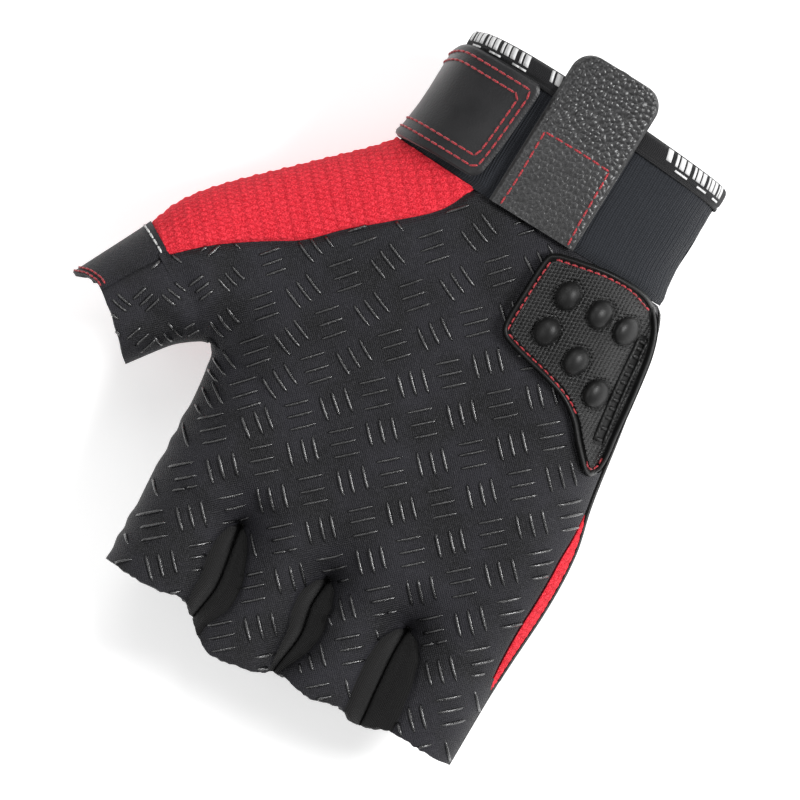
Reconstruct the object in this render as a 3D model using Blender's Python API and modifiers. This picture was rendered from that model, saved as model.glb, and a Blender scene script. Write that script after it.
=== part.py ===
"""A right-hand half-finger riding glove, lying on its back with the palm up.

Frame: +Z points out of the palm, +Y towards the wrist and +X towards the little finger. The origin is the
centre of the knuckle guard's flat rest face, which lies in the plane Z = 0. Every length below is in
millimetres, and becomes metres where a point is made.

The glove's skin is described in plan. Its edges and the slits between the fingers are curves in X and Y, and
the skin swells above and below a middle surface by an amount that depends on the distance to those curves.
Each sewn panel is a grid laid on that skin and thickened inwards.
"""

import math

import bmesh
import bpy
import numpy as np
from mathutils import Vector

MM = 0.001
PALM, BACK = 1, -1  # the two sides of the skin

# Sheet materials
FABRIC = 1.5  # palm, back, cuff and finger panels
LEATHER = 1.6  # strap and pull tab
PATCH = 0.8  # hook and loop patches
FOAM = 2.0  # padding under the protectors
GAP = 0.5  # clearance between neighbouring pieces
THREAD = 0.35  # radius of a run of stitching

# Stations along the hand, from the fingers to the wrist
FINGER_ENDS = {"index": -35.0, "middle": -40.5, "ring": -37.5, "little": -35.0}
ROOT_Y = -11.0  # where the finger stalls begin
PALM_END_Y = -8.5  # where the palm and back panels stop
CUFF_Y = (91.5, 124.0)
BINDING_Y = 126.2
STRAP_Y = (93.5, 121.7)
TAB_Y = (92.0, 112.0, 135.5)  # lower edge, fold line and free end
TAB_X = (-15.0, 9.0)

# Plan curves of the glove's edges: each runs through its points as a smooth curve
LEFT_EDGE = [(-40, 140), (-40, 118), (-40.5, 100), (-43.5, 91), (-57.5, 76), (-73, 60), (-80.5, 50),
             (-84.5, 40), (-92.5, 23), (-98, 11)]
THUMB_INNER_EDGE = [(-78, -1), (-71.5, 8), (-64, 18), (-58.5, 23), (-55.3, 24.2)]
INDEX_EDGE = [(-55.3, 24.2), (-53, 20), (-51.5, 6), (-50.2, -15), (-49.2, -35), (-48.6, -50)]
RIGHT_EDGE = [(33.5, 140), (33.5, 118), (34, 96), (38.5, 84), (43.3, 60), (46.8, 40), (50, 27), (51, 12),
              (50.4, -10), (50.8, -35), (50.8, -50)]
SLITS_X = (-23.5, 1.0, 25.0)
SLIT_Y = (-10.0, -50.0)
SLIT_HALF = 0.7  # half the room between two finger stalls
CROTCH = Vector((-55.3, 24.2))
THUMB_SEAM = [(-20.5, 91.5), (-24, 83), (-38, 69), (-53, 57), (-66, 47.5), (-76, 36.5)]
BACK_SEAM = [(-22, 91.5), (-30, 76), (-44, 56), (-49, 40), (-50, 28)]
BACK_SEAM_END_Y = 20.0
STRIP_END_Y = 90.0  # where the mesh along the little-finger side ends, under the slider

# The thumb stall: its axis in plan, and the distances of its root and its open end from the crotch
THUMB_AXIS = Vector((-0.48, -0.877)).normalized()
THUMB_SIDE = Vector((-THUMB_AXIS.y, THUMB_AXIS.x))
THUMB_ROOT, THUMB_END = 1.0, 20.0

# The skin's edge radius, half thickness and middle height at stations along Y
STATIONS = (-45, -30, -12, 10, 40, 70, 90, 130)
EDGE_RADIUS = (11.5, 11.8, 13, 17, 20, 24, 30, 34)
SWELL = (11.0, 12.0, 14.0, 15.5, 17.0, 19.0, 21.0, 22.0)
MIDDLE = (25.5, 23.0, 20.0, 20.5, 21.5, 23.0, 23.7, 24.7)
THUMB_RADIUS, THUMB_SWELL = 13.2, 13.0
THUMB_MIDDLE = (24.0, 29.0)  # well before the thumb's root and at its end
THUMB_BLEND_X = (-48.0, -66.0)

# Protectors
GUARD_HALF = (41.0, 10.0)
GUARD_REST_X = 32.0  # half length of the flat rest face
GUARD_LEVEL_Y = 6.0  # towards the fingers from here the guard bridges the hollows between the knuckles
GUARD_LIFT = 1.5
SLIDER_LEFT = [(8, 89), (3.8, 84), (3.4, 70), (6, 63.5), (16, 60.5), (26, 57.5), (34, 52), (39.5, 47.5)]
SLIDER_RIGHT = [(32, 91.5), (37, 87), (39.2, 80), (40.8, 72), (42, 65), (43, 58), (43.7, 51), (43.4, 47)]
SLIDER_CENTRE = Vector((26.0, 72.0))
SLIDER_DOMES = [(13.5, 81), (23, 82), (31.5, 80.5), (13.5, 70.5), (24, 68), (33, 64.5)]
SLIDER_THICK = 2.4
SLIDER_LIFT = 1.1
DOME_RADIUS = 3.1

# Places round the cuff's section, in degrees: 0 little-finger side, 90 palm, 180 thumb side, 270 back
CUFF_PALM, CUFF_BACK = (3.0, 166.0), (192.0, 357.0)
FLAP, ANCHOR = (112.5, 198.0), (203.0, 262.0)
HOOK, LOOP = (119.0, 150.0), (116.0, 156.0)
FLAP_LIFT, ANCHOR_LIFT = 4.3, 2.4
STRAP_STITCH_INSETS = {"strap_stitch_outer": 2.4, "strap_stitch_inner": 4.9}

HAND_CORE, CUFF_CORE, THUMB_CORE = (-5, 45, 22), (-3, 108, 25), (-78, 22, 27)

# Base colour, roughness and metallic value
MATERIALS = {
    "embossed_palm": ((0.030, 0.031, 0.034), 0.55, 0.0),
    "red_mesh": ((0.62, 0.012, 0.022), 0.80, 0.0),
    "black_knit": ((0.018, 0.018, 0.020), 0.90, 0.0),
    "cuff_elastic": ((0.030, 0.033, 0.038), 0.85, 0.0),
    "smooth_leather": ((0.022, 0.022, 0.024), 0.38, 0.0),
    "grain_leather": ((0.035, 0.036, 0.038), 0.45, 0.0),
    "moulded_rubber": ((0.020, 0.021, 0.021), 0.50, 0.0),
    "guard_shell": ((0.014, 0.014, 0.015), 0.30, 0.0),
    "foam": ((0.10, 0.10, 0.10), 0.95, 0.0),
    "binding_tape": ((0.025, 0.025, 0.027), 0.75, 0.0),
    "red_thread": ((0.55, 0.02, 0.03), 0.60, 0.0),
    "hook_loop": ((0.015, 0.015, 0.016), 0.95, 0.0),
}


# ---------------------------------------------------------------- the plan and the skin
def smooth_curve(points, steps=6):
    """Plan points along a Catmull-Rom curve through the given ones."""
    knots = [np.array(p, float) for p in points]
    knots = [2 * knots[0] - knots[1], *knots, 2 * knots[-1] - knots[-2]]
    out = []
    for a, b, c, d in zip(knots, knots[1:], knots[2:], knots[3:], strict=False):
        for t in np.linspace(0, 1, steps, endpoint=False):
            square = (2 * a - 5 * b + 4 * c - d) * t**2
            cube = (3 * b - a - 3 * c + d) * t**3
            out.append(0.5 * (2 * b + (c - a) * t + square + cube))
    return np.array([*out, knots[-2]])


LEFT, RIGHT = smooth_curve(LEFT_EDGE), smooth_curve(RIGHT_EDGE)
THUMB_INNER, INDEX_SIDE = smooth_curve(THUMB_INNER_EDGE), smooth_curve(INDEX_EDGE)
PALM_THUMB_SEAM, BACK_THUMB_SEAM = smooth_curve(THUMB_SEAM), smooth_curve(BACK_SEAM)
EDGES = [LEFT, THUMB_INNER, INDEX_SIDE, RIGHT]
SLITS = [np.array([(x, SLIT_Y[0]), (x, SLIT_Y[1])]) for x in SLITS_X]


def distance(x, y, curve):
    """Distance from a plan point to a curve given as points."""
    start, step = curve[:-1], np.diff(curve, axis=0)
    offset = np.array((x, y)) - start
    along = np.clip((offset * step).sum(1) / (step**2).sum(1), 0, 1)
    return float(np.sqrt(((offset - along[:, None] * step) ** 2).sum(1)).min())


def curve_x(curve, y):
    """The X at a station of a curve that runs steadily along Y."""
    order = np.argsort(curve[:, 1])
    return float(np.interp(y, curve[order, 1], curve[order, 0]))


def curve_at(curve, share):
    """The point at a share of the way along a curve."""
    place = min(max(share, 0), 1) * (len(curve) - 1)
    low = min(int(place), len(curve) - 2)
    return curve[low] + (curve[low + 1] - curve[low]) * (place - low)


def ease(value, start, end):
    t = min(max((value - start) / (end - start), 0), 1)
    return t * t * (3 - 2 * t)


def thumb_along(x, y):
    """Distance of a plan point past the crotch, along the thumb's axis."""
    return (Vector((x, y)) - CROTCH).dot(THUMB_AXIS)


def girth(x, y):
    """Edge radius, half thickness and middle height of the skin at a plan point."""
    hand = [float(np.interp(y, STATIONS, row)) for row in (EDGE_RADIUS, SWELL, MIDDLE)]
    along = ease(thumb_along(x, y), -30, THUMB_END)
    middle = THUMB_MIDDLE[0] + along * (THUMB_MIDDLE[1] - THUMB_MIDDLE[0])
    thumb = [THUMB_RADIUS, THUMB_SWELL + 1.5 * (1 - along), middle]
    share = ease(x, *THUMB_BLEND_X)
    return [h + share * (t - h) for h, t in zip(hand, thumb, strict=True)]


def skin(x, y, side):
    """The point of the outer skin over (PALM) or under (BACK) a plan point."""
    radius, swell, middle = girth(x, y)
    to_edge = min(distance(x, y, edge) for edge in EDGES)
    to_slit = min(distance(x, y, slit) for slit in SLITS) - SLIT_HALF
    depth = min(max(min(to_edge, to_slit), 0) / radius, 1)
    return Vector((x, y, middle + side * swell * math.sqrt(1 - (1 - depth) ** 2))) * MM


def round_section(left, right, y, angle):
    """A point of the closed section between two X limits; 90 degrees is the palm side and 270 the back."""
    turn = math.radians(angle)
    x = (left + right) / 2 + (right - left) / 2 * math.cos(turn)
    return skin(x, y, PALM if math.sin(turn) >= 0 else BACK)


def spread(left, right, share):
    """X between two limits, with the points gathered towards both."""
    return (left + right) / 2 - (right - left) / 2 * math.cos(share * math.pi)


# ---------------------------------------------------------------- building blocks
def material(name):
    made = bpy.data.materials.get(name)
    if made is None:
        colour, roughness, metallic = MATERIALS[name]
        made = bpy.data.materials.new(name)
        made.use_nodes = True
        shader = made.node_tree.nodes["Principled BSDF"]
        shader.inputs["Base Color"].default_value = (*colour, 1)
        shader.inputs["Roughness"].default_value = roughness
        shader.inputs["Metallic"].default_value = metallic
    return made


def finish_object(name, data, surface):
    obj = bpy.data.objects.new(name, data)
    GLOVE.objects.link(obj)
    data.materials.append(material(surface))
    return obj


def mesh_object(name, bm, surface):
    mesh = bpy.data.meshes.new(name)
    bm.to_mesh(mesh)
    bm.free()
    mesh.shade_smooth()
    mesh.set_sharp_from_angle(angle=math.radians(40))
    return finish_object(name, mesh, surface)


def laid_grid(place, across, along, core, lift):
    """A grid whose points place(u, v) gives, facing away from core and lifted along its own normals."""
    bm = bmesh.new()
    bmesh.ops.create_grid(bm, x_segments=across, y_segments=along, size=0.5)
    for vert in bm.verts:
        vert.co = place(vert.co.x + 0.5, vert.co.y + 0.5)
    bm.normal_update()
    centre = Vector(core) * MM
    away = sum(f.normal.dot(f.calc_center_median() - centre) * f.calc_area() for f in bm.faces)
    if away < 0:
        bmesh.ops.reverse_faces(bm, faces=bm.faces)
        bm.normal_update()
    for vert in bm.verts:
        vert.co += vert.normal * lift * MM
    return bm


def sheet(name, surface, place, across, along, core, lift=0.0, thickness=FABRIC):
    """A sewn panel: its outer face lies lift above the skin and it is thickened inwards."""
    obj = mesh_object(name, laid_grid(place, across, along, core, lift), surface)
    solid = obj.modifiers.new("thickness", "SOLIDIFY")
    solid.thickness = thickness * MM
    solid.offset = -1
    return obj


def cord(name, surface, points, radius, resolution=1):
    """A round cord through points in metres."""
    curve = bpy.data.curves.new(name, "CURVE")
    curve.dimensions = "3D"
    curve.bevel_depth = radius * MM
    curve.bevel_resolution = resolution
    curve.use_fill_caps = True
    line = curve.splines.new("POLY")
    line.points.add(len(points) - 1)
    for point, place in zip(line.points, points, strict=True):
        point.co = (*place, 1)
    return finish_object(name, curve, surface)


def lifted(place, lift, core):
    """The same placing function, moved lift outwards, away from core."""
    step = 0.01
    centre = Vector(core) * MM

    def raised(u, v):
        here = place(u, v)
        du = place(u + step, v) - place(u - step, v)
        dv = place(u, v + step) - place(u, v - step)
        normal = du.cross(dv).normalized()
        if normal.dot(here - centre) < 0:
            normal.negate()
        return here + normal * lift * MM

    return raised


# ---------------------------------------------------------------- panels of the hand
def palm_left(y):
    """Left limit of the palm panel: the thumb seam, then the thumb's root line, then the index side."""
    if y > THUMB_SEAM[-1][1]:
        return curve_x(PALM_THUMB_SEAM, y) + 1.5 * GAP
    if y > CROTCH.y:
        return max(CROTCH.x - (y - CROTCH.y) * THUMB_SIDE.x / -THUMB_SIDE.y, THUMB_SEAM[-1][0]) + 2 * GAP
    return curve_x(INDEX_SIDE, y) + GAP


def back_left(y):
    """Left limit of the back panel: the thumb's back seam, then the index side."""
    if y > BACK_SEAM_END_Y:
        return curve_x(BACK_THUMB_SEAM, y) + 2 * GAP
    return curve_x(INDEX_SIDE, y) + GAP


def palm_place(u, v):
    y = PALM_END_Y + v * (CUFF_Y[0] - GAP - PALM_END_Y)
    return skin(spread(palm_left(y), curve_x(RIGHT, y) - 2.4, u), y, PALM)


def back_place(u, v):
    y = PALM_END_Y + v * (CUFF_Y[0] - GAP - PALM_END_Y)
    return skin(spread(back_left(y), curve_x(RIGHT, y) - 2.0, u), y, BACK)


def side_strip_place(u, v):
    """The strip round the little-finger edge: palm side at u 0, back side at u 1."""
    y = PALM_END_Y + v * (STRIP_END_Y - PALM_END_Y)
    reach = 2 * u - 1
    width = 1.8 if reach < 0 else 1.4
    return skin(curve_x(RIGHT, y) - width * reach**2, y, BACK if reach > 0 else PALM)


def thumb_mesh_place(u, v):
    """The panel round the thumb's outer edge, from its palm seam at u 0 to its back seam at u 1."""
    outer_y = 40.5 + v * (CUFF_Y[0] - 1 - 40.5)
    outer = np.array((curve_x(LEFT, outer_y), outer_y))
    reach = 2 * u - 1
    target = curve_at(PALM_THUMB_SEAM if reach < 0 else BACK_THUMB_SEAM, 1 - v)
    x, y = outer + (target - outer) * (1 - math.cos(abs(reach) * math.pi / 2))
    past_root = max(thumb_along(x, y) + 2 * GAP, 0)
    x, y = x - past_root * THUMB_AXIS.x, y - past_root * THUMB_AXIS.y
    return skin(x, min(y, CUFF_Y[0] - GAP), PALM if reach < 0 else BACK)


def make_hand_panels():
    sheet("palm_panel", "embossed_palm", palm_place, 16, 18, HAND_CORE)
    sheet("back_panel", "black_knit", back_place, 14, 14, HAND_CORE)
    sheet("side_mesh_strip", "red_mesh", side_strip_place, 6, 14, HAND_CORE)
    sheet("thumb_mesh_panel", "red_mesh", thumb_mesh_place, 10, 12, HAND_CORE)


# ---------------------------------------------------------------- fingers and thumb
def stall_panel(name, surface, section, core, angles, across):
    """One lengthwise panel of a stall, between two angles of its round section."""
    start, end = angles
    sheet(name, surface, lambda u, v: section(v, start + u * (end - start)), across, 4, core)


def make_finger(finger, little_side, thumb_side):
    """A finger stall of four panels; each side is given as the end of its name and its surface."""
    number = list(FINGER_ENDS).index(finger)
    end = FINGER_ENDS[finger]

    def section(v, angle):
        y = ROOT_Y + v * (end - ROOT_Y)
        left = SLITS_X[number - 1] + SLIT_HALF if number > 0 else curve_x(INDEX_SIDE, y)
        right = SLITS_X[number] - SLIT_HALF if number < 3 else curve_x(RIGHT, y)
        return round_section(left, right, y, angle)

    middle = (section(0.5, 0) + section(0.5, 180)) / (2 * MM)
    stall_panel(f"{finger}_palm_side", "embossed_palm", section, middle, (47, 133), 6)
    stall_panel(f"{finger}_back", "black_knit", section, middle, (227, 313), 6)
    stall_panel(f"{finger}_{thumb_side[0]}", thumb_side[1], section, middle, (137, 223), 6)
    stall_panel(f"{finger}_{little_side[0]}", little_side[1], section, middle, (-43, 43), 6)


def thumb_width_at(along):
    """Distances across the thumb, from its axis through the crotch, of its outer and inner edges."""
    found = []
    for edge in (LEFT, THUMB_INNER):
        offset = edge - np.array(CROTCH)
        lengthwise = offset @ np.array(THUMB_AXIS)
        order = np.argsort(lengthwise)
        found.append(float(np.interp(along, lengthwise[order], (offset @ np.array(THUMB_SIDE))[order])))
    return found


def thumb_section(v, angle):
    """The thumb stall's section at v along it; 90 degrees is the palm side and 180 the outer edge."""
    along = THUMB_ROOT + v * (THUMB_END - THUMB_ROOT)
    outer, inner = thumb_width_at(along)
    turn = math.radians(angle)
    across = (outer + inner) / 2 + (inner - outer) / 2 * math.cos(turn)
    place = CROTCH + THUMB_AXIS * along + THUMB_SIDE * across
    return skin(place.x, place.y, PALM if math.sin(turn) >= 0 else BACK)


def make_thumb():
    stall_panel("thumb_palm_side", "embossed_palm", thumb_section, THUMB_CORE, (44, 116), 5)
    stall_panel("thumb_end_band", "smooth_leather", thumb_section, THUMB_CORE, (120, 216), 6)
    stall_panel("thumb_back", "black_knit", thumb_section, THUMB_CORE, (220, 313), 6)
    stall_panel("thumb_inner_gusset", "embossed_palm", thumb_section, THUMB_CORE, (-43, 40), 5)


# ---------------------------------------------------------------- the cuff and its closure
def cuff_patch(angles, ys):
    """A patch of the cuff between two angles and two stations."""
    def place(u, v):
        y = ys[0] + v * (ys[1] - ys[0])
        return round_section(curve_x(LEFT, y), curve_x(RIGHT, y), y, angles[0] + u * (angles[1] - angles[0]))
    return place


def make_cuff():
    sheet("cuff_palm_knit", "cuff_elastic", cuff_patch(CUFF_PALM, CUFF_Y), 14, 3, CUFF_CORE)
    sheet("cuff_back_knit", "cuff_elastic", cuff_patch(CUFF_BACK, CUFF_Y), 14, 3, CUFF_CORE)
    elastic = cuff_patch((35, 145), (98, 116))
    sheet("wrist_elastic", "hook_loop", elastic, 10, 2, CUFF_CORE, -FABRIC - GAP, 0.9)
    rim = lifted(cuff_patch((-164, 170), (BINDING_Y - 1, BINDING_Y + 1)), -0.8, CUFF_CORE)
    cord("cuff_top_binding", "binding_tape", [rim(k / 34, 0.5) for k in range(35)], 1.9, 2)
    slit = lifted(cuff_patch((168, 173), (CUFF_Y[0] + 1, CUFF_Y[1] - 2)), -0.8, CUFF_CORE)
    cord("cuff_slit_binding", "binding_tape", [slit(0.8, k / 3) for k in range(4)], 1.1)


def stitch_track(place, corners, steps):
    """Points along straight runs between (u, v) corners of a placed patch."""
    track = []
    for (u0, v0), (u1, v1), count in zip(corners, corners[1:], steps, strict=False):
        track += [place(u0 + (u1 - u0) * k / count, v0 + (v1 - v0) * k / count) for k in range(count)]
    track.append(place(*corners[-1]))
    return track


def make_strap():
    sheet("strap_flap", "smooth_leather", cuff_patch(FLAP, STRAP_Y), 12, 3, CUFF_CORE, FLAP_LIFT, LEATHER)
    sheet("strap_anchor", "smooth_leather", cuff_patch(ANCHOR, STRAP_Y), 8, 3, CUFF_CORE, ANCHOR_LIFT, LEATHER)
    inner = (STRAP_Y[0] + 3, STRAP_Y[1] - 3)
    hook_lift = FLAP_LIFT - LEATHER - 0.4
    loop_lift = hook_lift - PATCH - 0.35
    sheet("hook_patch", "hook_loop", cuff_patch(HOOK, inner), 5, 2, CUFF_CORE, hook_lift, PATCH)
    sheet("loop_patch", "hook_loop", cuff_patch(LOOP, inner), 6, 2, CUFF_CORE, loop_lift, 0.6)
    corners = [(1, 1), (0, 1), (0, 0), (1, 0)]
    for name, inset in STRAP_STITCH_INSETS.items():
        # One degree round the cuff is close to 0.87 mm at the flap's free end.
        run = cuff_patch((FLAP[0] + inset / 0.87, FLAP[1] - 6), (STRAP_Y[0] + inset, STRAP_Y[1] - inset))
        raised = lifted(run, FLAP_LIFT + THREAD + 0.6, CUFF_CORE)
        cord(name, "red_thread", stitch_track(raised, corners, (8, 4, 8)), THREAD)


def plan_patch(xs, ys, side):
    """A patch of the skin between two X and two Y limits."""
    return lambda u, v: skin(xs[0] + u * (xs[1] - xs[0]), ys[0] + v * (ys[1] - ys[0]), side)


def make_pull_tab():
    lift = GAP + LEATHER
    base = plan_patch(TAB_X, (TAB_Y[0], TAB_Y[1] - GAP), PALM)
    free = plan_patch(TAB_X, (TAB_Y[1] + GAP, TAB_Y[2]), PALM)
    sheet("pull_tab_base", "grain_leather", base, 6, 4, CUFF_CORE, lift, LEATHER)
    sheet("pull_tab_free", "grain_leather", free, 6, 5, CUFF_CORE, lift + 1.6, LEATHER)
    box = plan_patch((TAB_X[0] + 2.6, TAB_X[1] - 2.6), (TAB_Y[0] + 1.2, TAB_Y[1] - 2.0), PALM)
    raised = lifted(box, lift + THREAD + 0.4, CUFF_CORE)
    cord("tab_stitch", "red_thread", stitch_track(raised, [(0, 0), (0, 1), (1, 1), (1, 0)], (4, 4, 4)), THREAD)


# ---------------------------------------------------------------- protectors
SLIDER_SIDES = [smooth_curve(SLIDER_LEFT), smooth_curve(SLIDER_RIGHT)]


def slider_place(shrink):
    """The slider's patch of skin, shrunk towards its centre."""
    def place(u, v):
        left, right = (Vector(curve_at(side, v)) for side in SLIDER_SIDES)
        x, y = SLIDER_CENTRE + (left.lerp(right, u) - SLIDER_CENTRE) * shrink
        return skin(min(x, curve_x(RIGHT, y) - 0.6), y, PALM)
    return place


def add_dome(plate, number, centre):
    """A dome that rises out of the slider's plate."""
    bm = bmesh.new()
    bmesh.ops.create_uvsphere(bm, u_segments=10, v_segments=6, radius=DOME_RADIUS * MM)
    bmesh.ops.scale(bm, vec=(0.9, 1.15, 0.8), verts=bm.verts)
    bmesh.ops.translate(bm, vec=centre, verts=bm.verts)
    mesh = bpy.data.meshes.new(f"dome_{number}")
    bm.to_mesh(mesh)
    bm.free()
    dome = bpy.data.objects.new(f"dome_{number}", mesh)
    CUTTERS.objects.link(dome)
    dome.hide_render = True
    dome.display_type = "WIRE"
    join = plate.modifiers.new(f"dome_{number}", "BOOLEAN")
    join.operation = "UNION"
    join.object = dome


def make_slider():
    top = SLIDER_LIFT + SLIDER_THICK
    plate = sheet("palm_slider", "moulded_rubber", slider_place(1.0), 7, 12, HAND_CORE, top, SLIDER_THICK)
    sheet("slider_foam", "foam", slider_place(0.75), 5, 8, HAND_CORE, -FABRIC - 2 * GAP, FOAM)
    raised = lifted(slider_place(0.89), top + THREAD + 0.8, HAND_CORE)
    corners = [(0.02, 0.06), (0.02, 0.98), (0.9, 0.98)]
    cord("slider_stitch", "red_thread", stitch_track(raised, corners, (14, 5)), THREAD)
    for number, (x, y) in enumerate(SLIDER_DOMES):
        add_dome(plate, number, skin(x, y, PALM) + Vector((0, 0, top - 0.4)) * MM)


def make_guard():
    """The hard shell over the knuckles: its inside follows the back, its outside steps down to a flat face."""
    half_x, half_y = GUARD_HALF

    def guard_place(u, v):
        y = half_y * (2 * v - 1)
        place = skin(spread(-half_x, half_x, u), max(y, GUARD_LEVEL_Y), BACK)
        return Vector((place.x, y * MM, place.z))

    inside = laid_grid(guard_place, 16, 6, HAND_CORE, GUARD_LIFT)
    outside = bmesh.ops.extrude_face_region(inside, geom=inside.faces[:])["geom"]
    for vert in (item for item in outside if isinstance(item, bmesh.types.BMVert)):
        on_rest_face = abs(vert.co.x) <= GUARD_REST_X * MM and abs(vert.co.y) < (half_y - 1) * MM
        vert.co.z = 0.0 if on_rest_face else vert.co.z - 2.2 * MM
    bmesh.ops.recalc_face_normals(inside, faces=inside.faces)
    mesh_object("knuckle_guard", inside, "guard_shell")
    padding = plan_patch((-34, 34), (-5, 9), BACK)
    sheet("knuckle_foam", "foam", padding, 12, 4, HAND_CORE, -FABRIC - 4 * GAP, FOAM)


# ---------------------------------------------------------------- assembly
for leftover in list(bpy.data.objects):
    bpy.data.objects.remove(leftover)
GLOVE = bpy.data.collections.new("riding_glove")
CUTTERS = bpy.data.collections.new("cutters")
for collection in (GLOVE, CUTTERS):
    bpy.context.scene.collection.children.link(collection)

make_hand_panels()
make_finger("index", ("gusset", "black_knit"), ("outer_side", "embossed_palm"))
make_finger("middle", ("ring_gusset", "black_knit"), ("index_gusset", "black_knit"))
make_finger("ring", ("little_gusset", "black_knit"), ("middle_gusset", "black_knit"))
make_finger("little", ("mesh_side", "red_mesh"), ("gusset", "black_knit"))
make_thumb()
make_cuff()
make_strap()
make_pull_tab()
make_slider()
make_guard()
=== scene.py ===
import math

import bmesh
import bpy
import numpy as np
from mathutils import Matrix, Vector
from mathutils.bvhtree import BVHTree


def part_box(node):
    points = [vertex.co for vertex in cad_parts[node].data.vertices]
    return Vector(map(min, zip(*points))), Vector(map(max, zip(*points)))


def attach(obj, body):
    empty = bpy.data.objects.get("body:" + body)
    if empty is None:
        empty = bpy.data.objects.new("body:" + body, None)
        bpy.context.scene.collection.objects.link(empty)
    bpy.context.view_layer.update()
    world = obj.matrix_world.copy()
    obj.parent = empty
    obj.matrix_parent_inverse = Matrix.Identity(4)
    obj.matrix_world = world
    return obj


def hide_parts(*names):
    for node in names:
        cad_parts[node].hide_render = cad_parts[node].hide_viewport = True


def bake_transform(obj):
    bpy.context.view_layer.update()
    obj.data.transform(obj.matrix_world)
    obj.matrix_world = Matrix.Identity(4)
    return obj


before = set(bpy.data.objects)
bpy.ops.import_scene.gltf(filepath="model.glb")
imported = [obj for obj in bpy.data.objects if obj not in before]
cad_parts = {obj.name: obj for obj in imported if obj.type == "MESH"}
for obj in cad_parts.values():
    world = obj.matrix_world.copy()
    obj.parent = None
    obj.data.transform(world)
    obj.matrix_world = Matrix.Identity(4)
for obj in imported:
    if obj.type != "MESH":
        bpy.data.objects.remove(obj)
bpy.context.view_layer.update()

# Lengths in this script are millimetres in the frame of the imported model: +Z out of the palm, +Y towards the
# wrist, +X towards the little finger. They become metres where a mesh is made.
MM = 0.001
PALM, BACK = 1.0, -1.0
DENSE = 1.0  # share of the final mesh density


def span(node, axis):
    """Lowest and highest coordinate of a CAD node along an axis."""
    low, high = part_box(node)
    return low[axis] / MM, high[axis] / MM


# ---- places taken from the frame
FINGERS = ("index", "middle", "ring", "little")
ROOT_Y = (span("palm_panel", 1)[0] + span("index_palm_side", 1)[1]) / 2
CUFF_Y = span("cuff_palm_knit", 1)
STRAP_Y = span("strap_flap", 1)
TAB_X = span("pull_tab_base", 0)
TAB_LOW = span("pull_tab_base", 1)[0]
TAB_FOLD = (span("pull_tab_base", 1)[1] + span("pull_tab_free", 1)[0]) / 2
TAB_END = span("pull_tab_free", 1)[1]
BINDING_Y = sum(span("cuff_top_binding", 1)) / 2
HAND_CORE, CUFF_CORE = np.array((-5, 45, 22)), np.array((-3, 108, 24))  # points well inside the glove
THUMB_CORE = np.array((-78, 22, 27))
STALL_BEND = (0.5, 9.0)  # the stretch past a finger's or the thumb's root, passed to place_blended as its start and end
FABRIC = 1.3  # thickness of most panels
SHARP_ANGLE = math.radians(55)

# ---- the plan: edges and seams of the glove
LEFT_EDGE = [(-40, 140), (-40, 118), (-40.5, 100), (-43.5, 91), (-57.5, 76), (-73, 60), (-80.5, 50),
             (-84.5, 40), (-92.5, 23), (-98, 11)]
THUMB_INNER_EDGE = [(-78, -1), (-71.5, 8), (-64, 18), (-58.5, 23), (-55.3, 24.2)]
INDEX_EDGE = [(-55.3, 24.2), (-53, 20), (-51.5, 6), (-50.2, -15), (-49.2, -35), (-48.6, -50)]
RIGHT_EDGE = [(33.5, 140), (33.5, 118), (34, 96), (38.5, 84), (43.3, 60), (46.8, 40), (50, 27), (51, 12),
              (50.4, -10), (50.8, -35), (50.8, -50)]
SLIT_LINES = [[(-25, -10.5), (-23.5, -18), (-22, -27), (-23, -36), (-24, -50)],
              [(0.8, -10.5), (0.6, -18), (2.2, -26), (1.2, -36), (0.6, -50)],
              [(24.2, -10.5), (24.3, -18), (25.4, -28), (26.4, -36), (27, -50)]]
SLIT_HALF = 0.08  # half the gap between two finger stalls
CROTCH = np.array((-55.3, 24.2))
THUMB_SEAM = [(-19.8, 91.5), (-24, 82.5), (-33.5, 73.2), (-41.6, 66), (-49, 58.3), (-57.7, 52.5),
              (-67.5, 45.3), (-76, 37)]
BACK_SEAM = [(-22, 91.5), (-30, 76), (-43, 56), (-49, 40), (-54.6, 24.6)]
# Where the raw ends of the stalls lie: (X, Y) from the index side to the little finger side
STALL_ENDS = [(-52, -35.4), (-36, -35.3), (-27.5, -33.6), (-23, -36.6), (-20, -39.4), (-14.5, -41.8),
              (-8, -40.9), (-2, -39.4), (2.5, -37), (12, -38), (20, -36), (25.8, -37.6), (33, -34.6),
              (42, -34.5), (54, -33.9)]
# The thumb points along its axis, and its root and raw end lie this far from the crotch
THUMB_AXIS = np.array((-0.48, -0.877))
THUMB_AXIS /= np.linalg.norm(THUMB_AXIS)
THUMB_SIDE = np.array((-THUMB_AXIS[1], THUMB_AXIS[0]))
THUMB_ROOT, THUMB_END = 0.5, 20.5

# The hand's section at stations along Y: how round its edges are, half its thickness and its middle height
STATIONS = (-45, -30, -12, 10, 40, 70, 90, 130)
EDGE_RADIUS = (11.5, 11.8, 13, 17, 20, 24, 30, 34)
SWELL = (11.0, 12.0, 14.0, 15.5, 17.0, 19.0, 21.0, 22.0)
MIDDLE = (25.5, 23.0, 20.0, 20.5, 21.5, 23.0, 23.7, 24.7)
THUMB_RADIUS, THUMB_SWELL = 13.2, 13.0
THUMB_MIDDLE = (24.0, 29.0)  # the middle rises towards the thumb's end
THUMB_BLEND_X = (-48.0, -66.0)  # the hand's section turns into the thumb's between these


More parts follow.
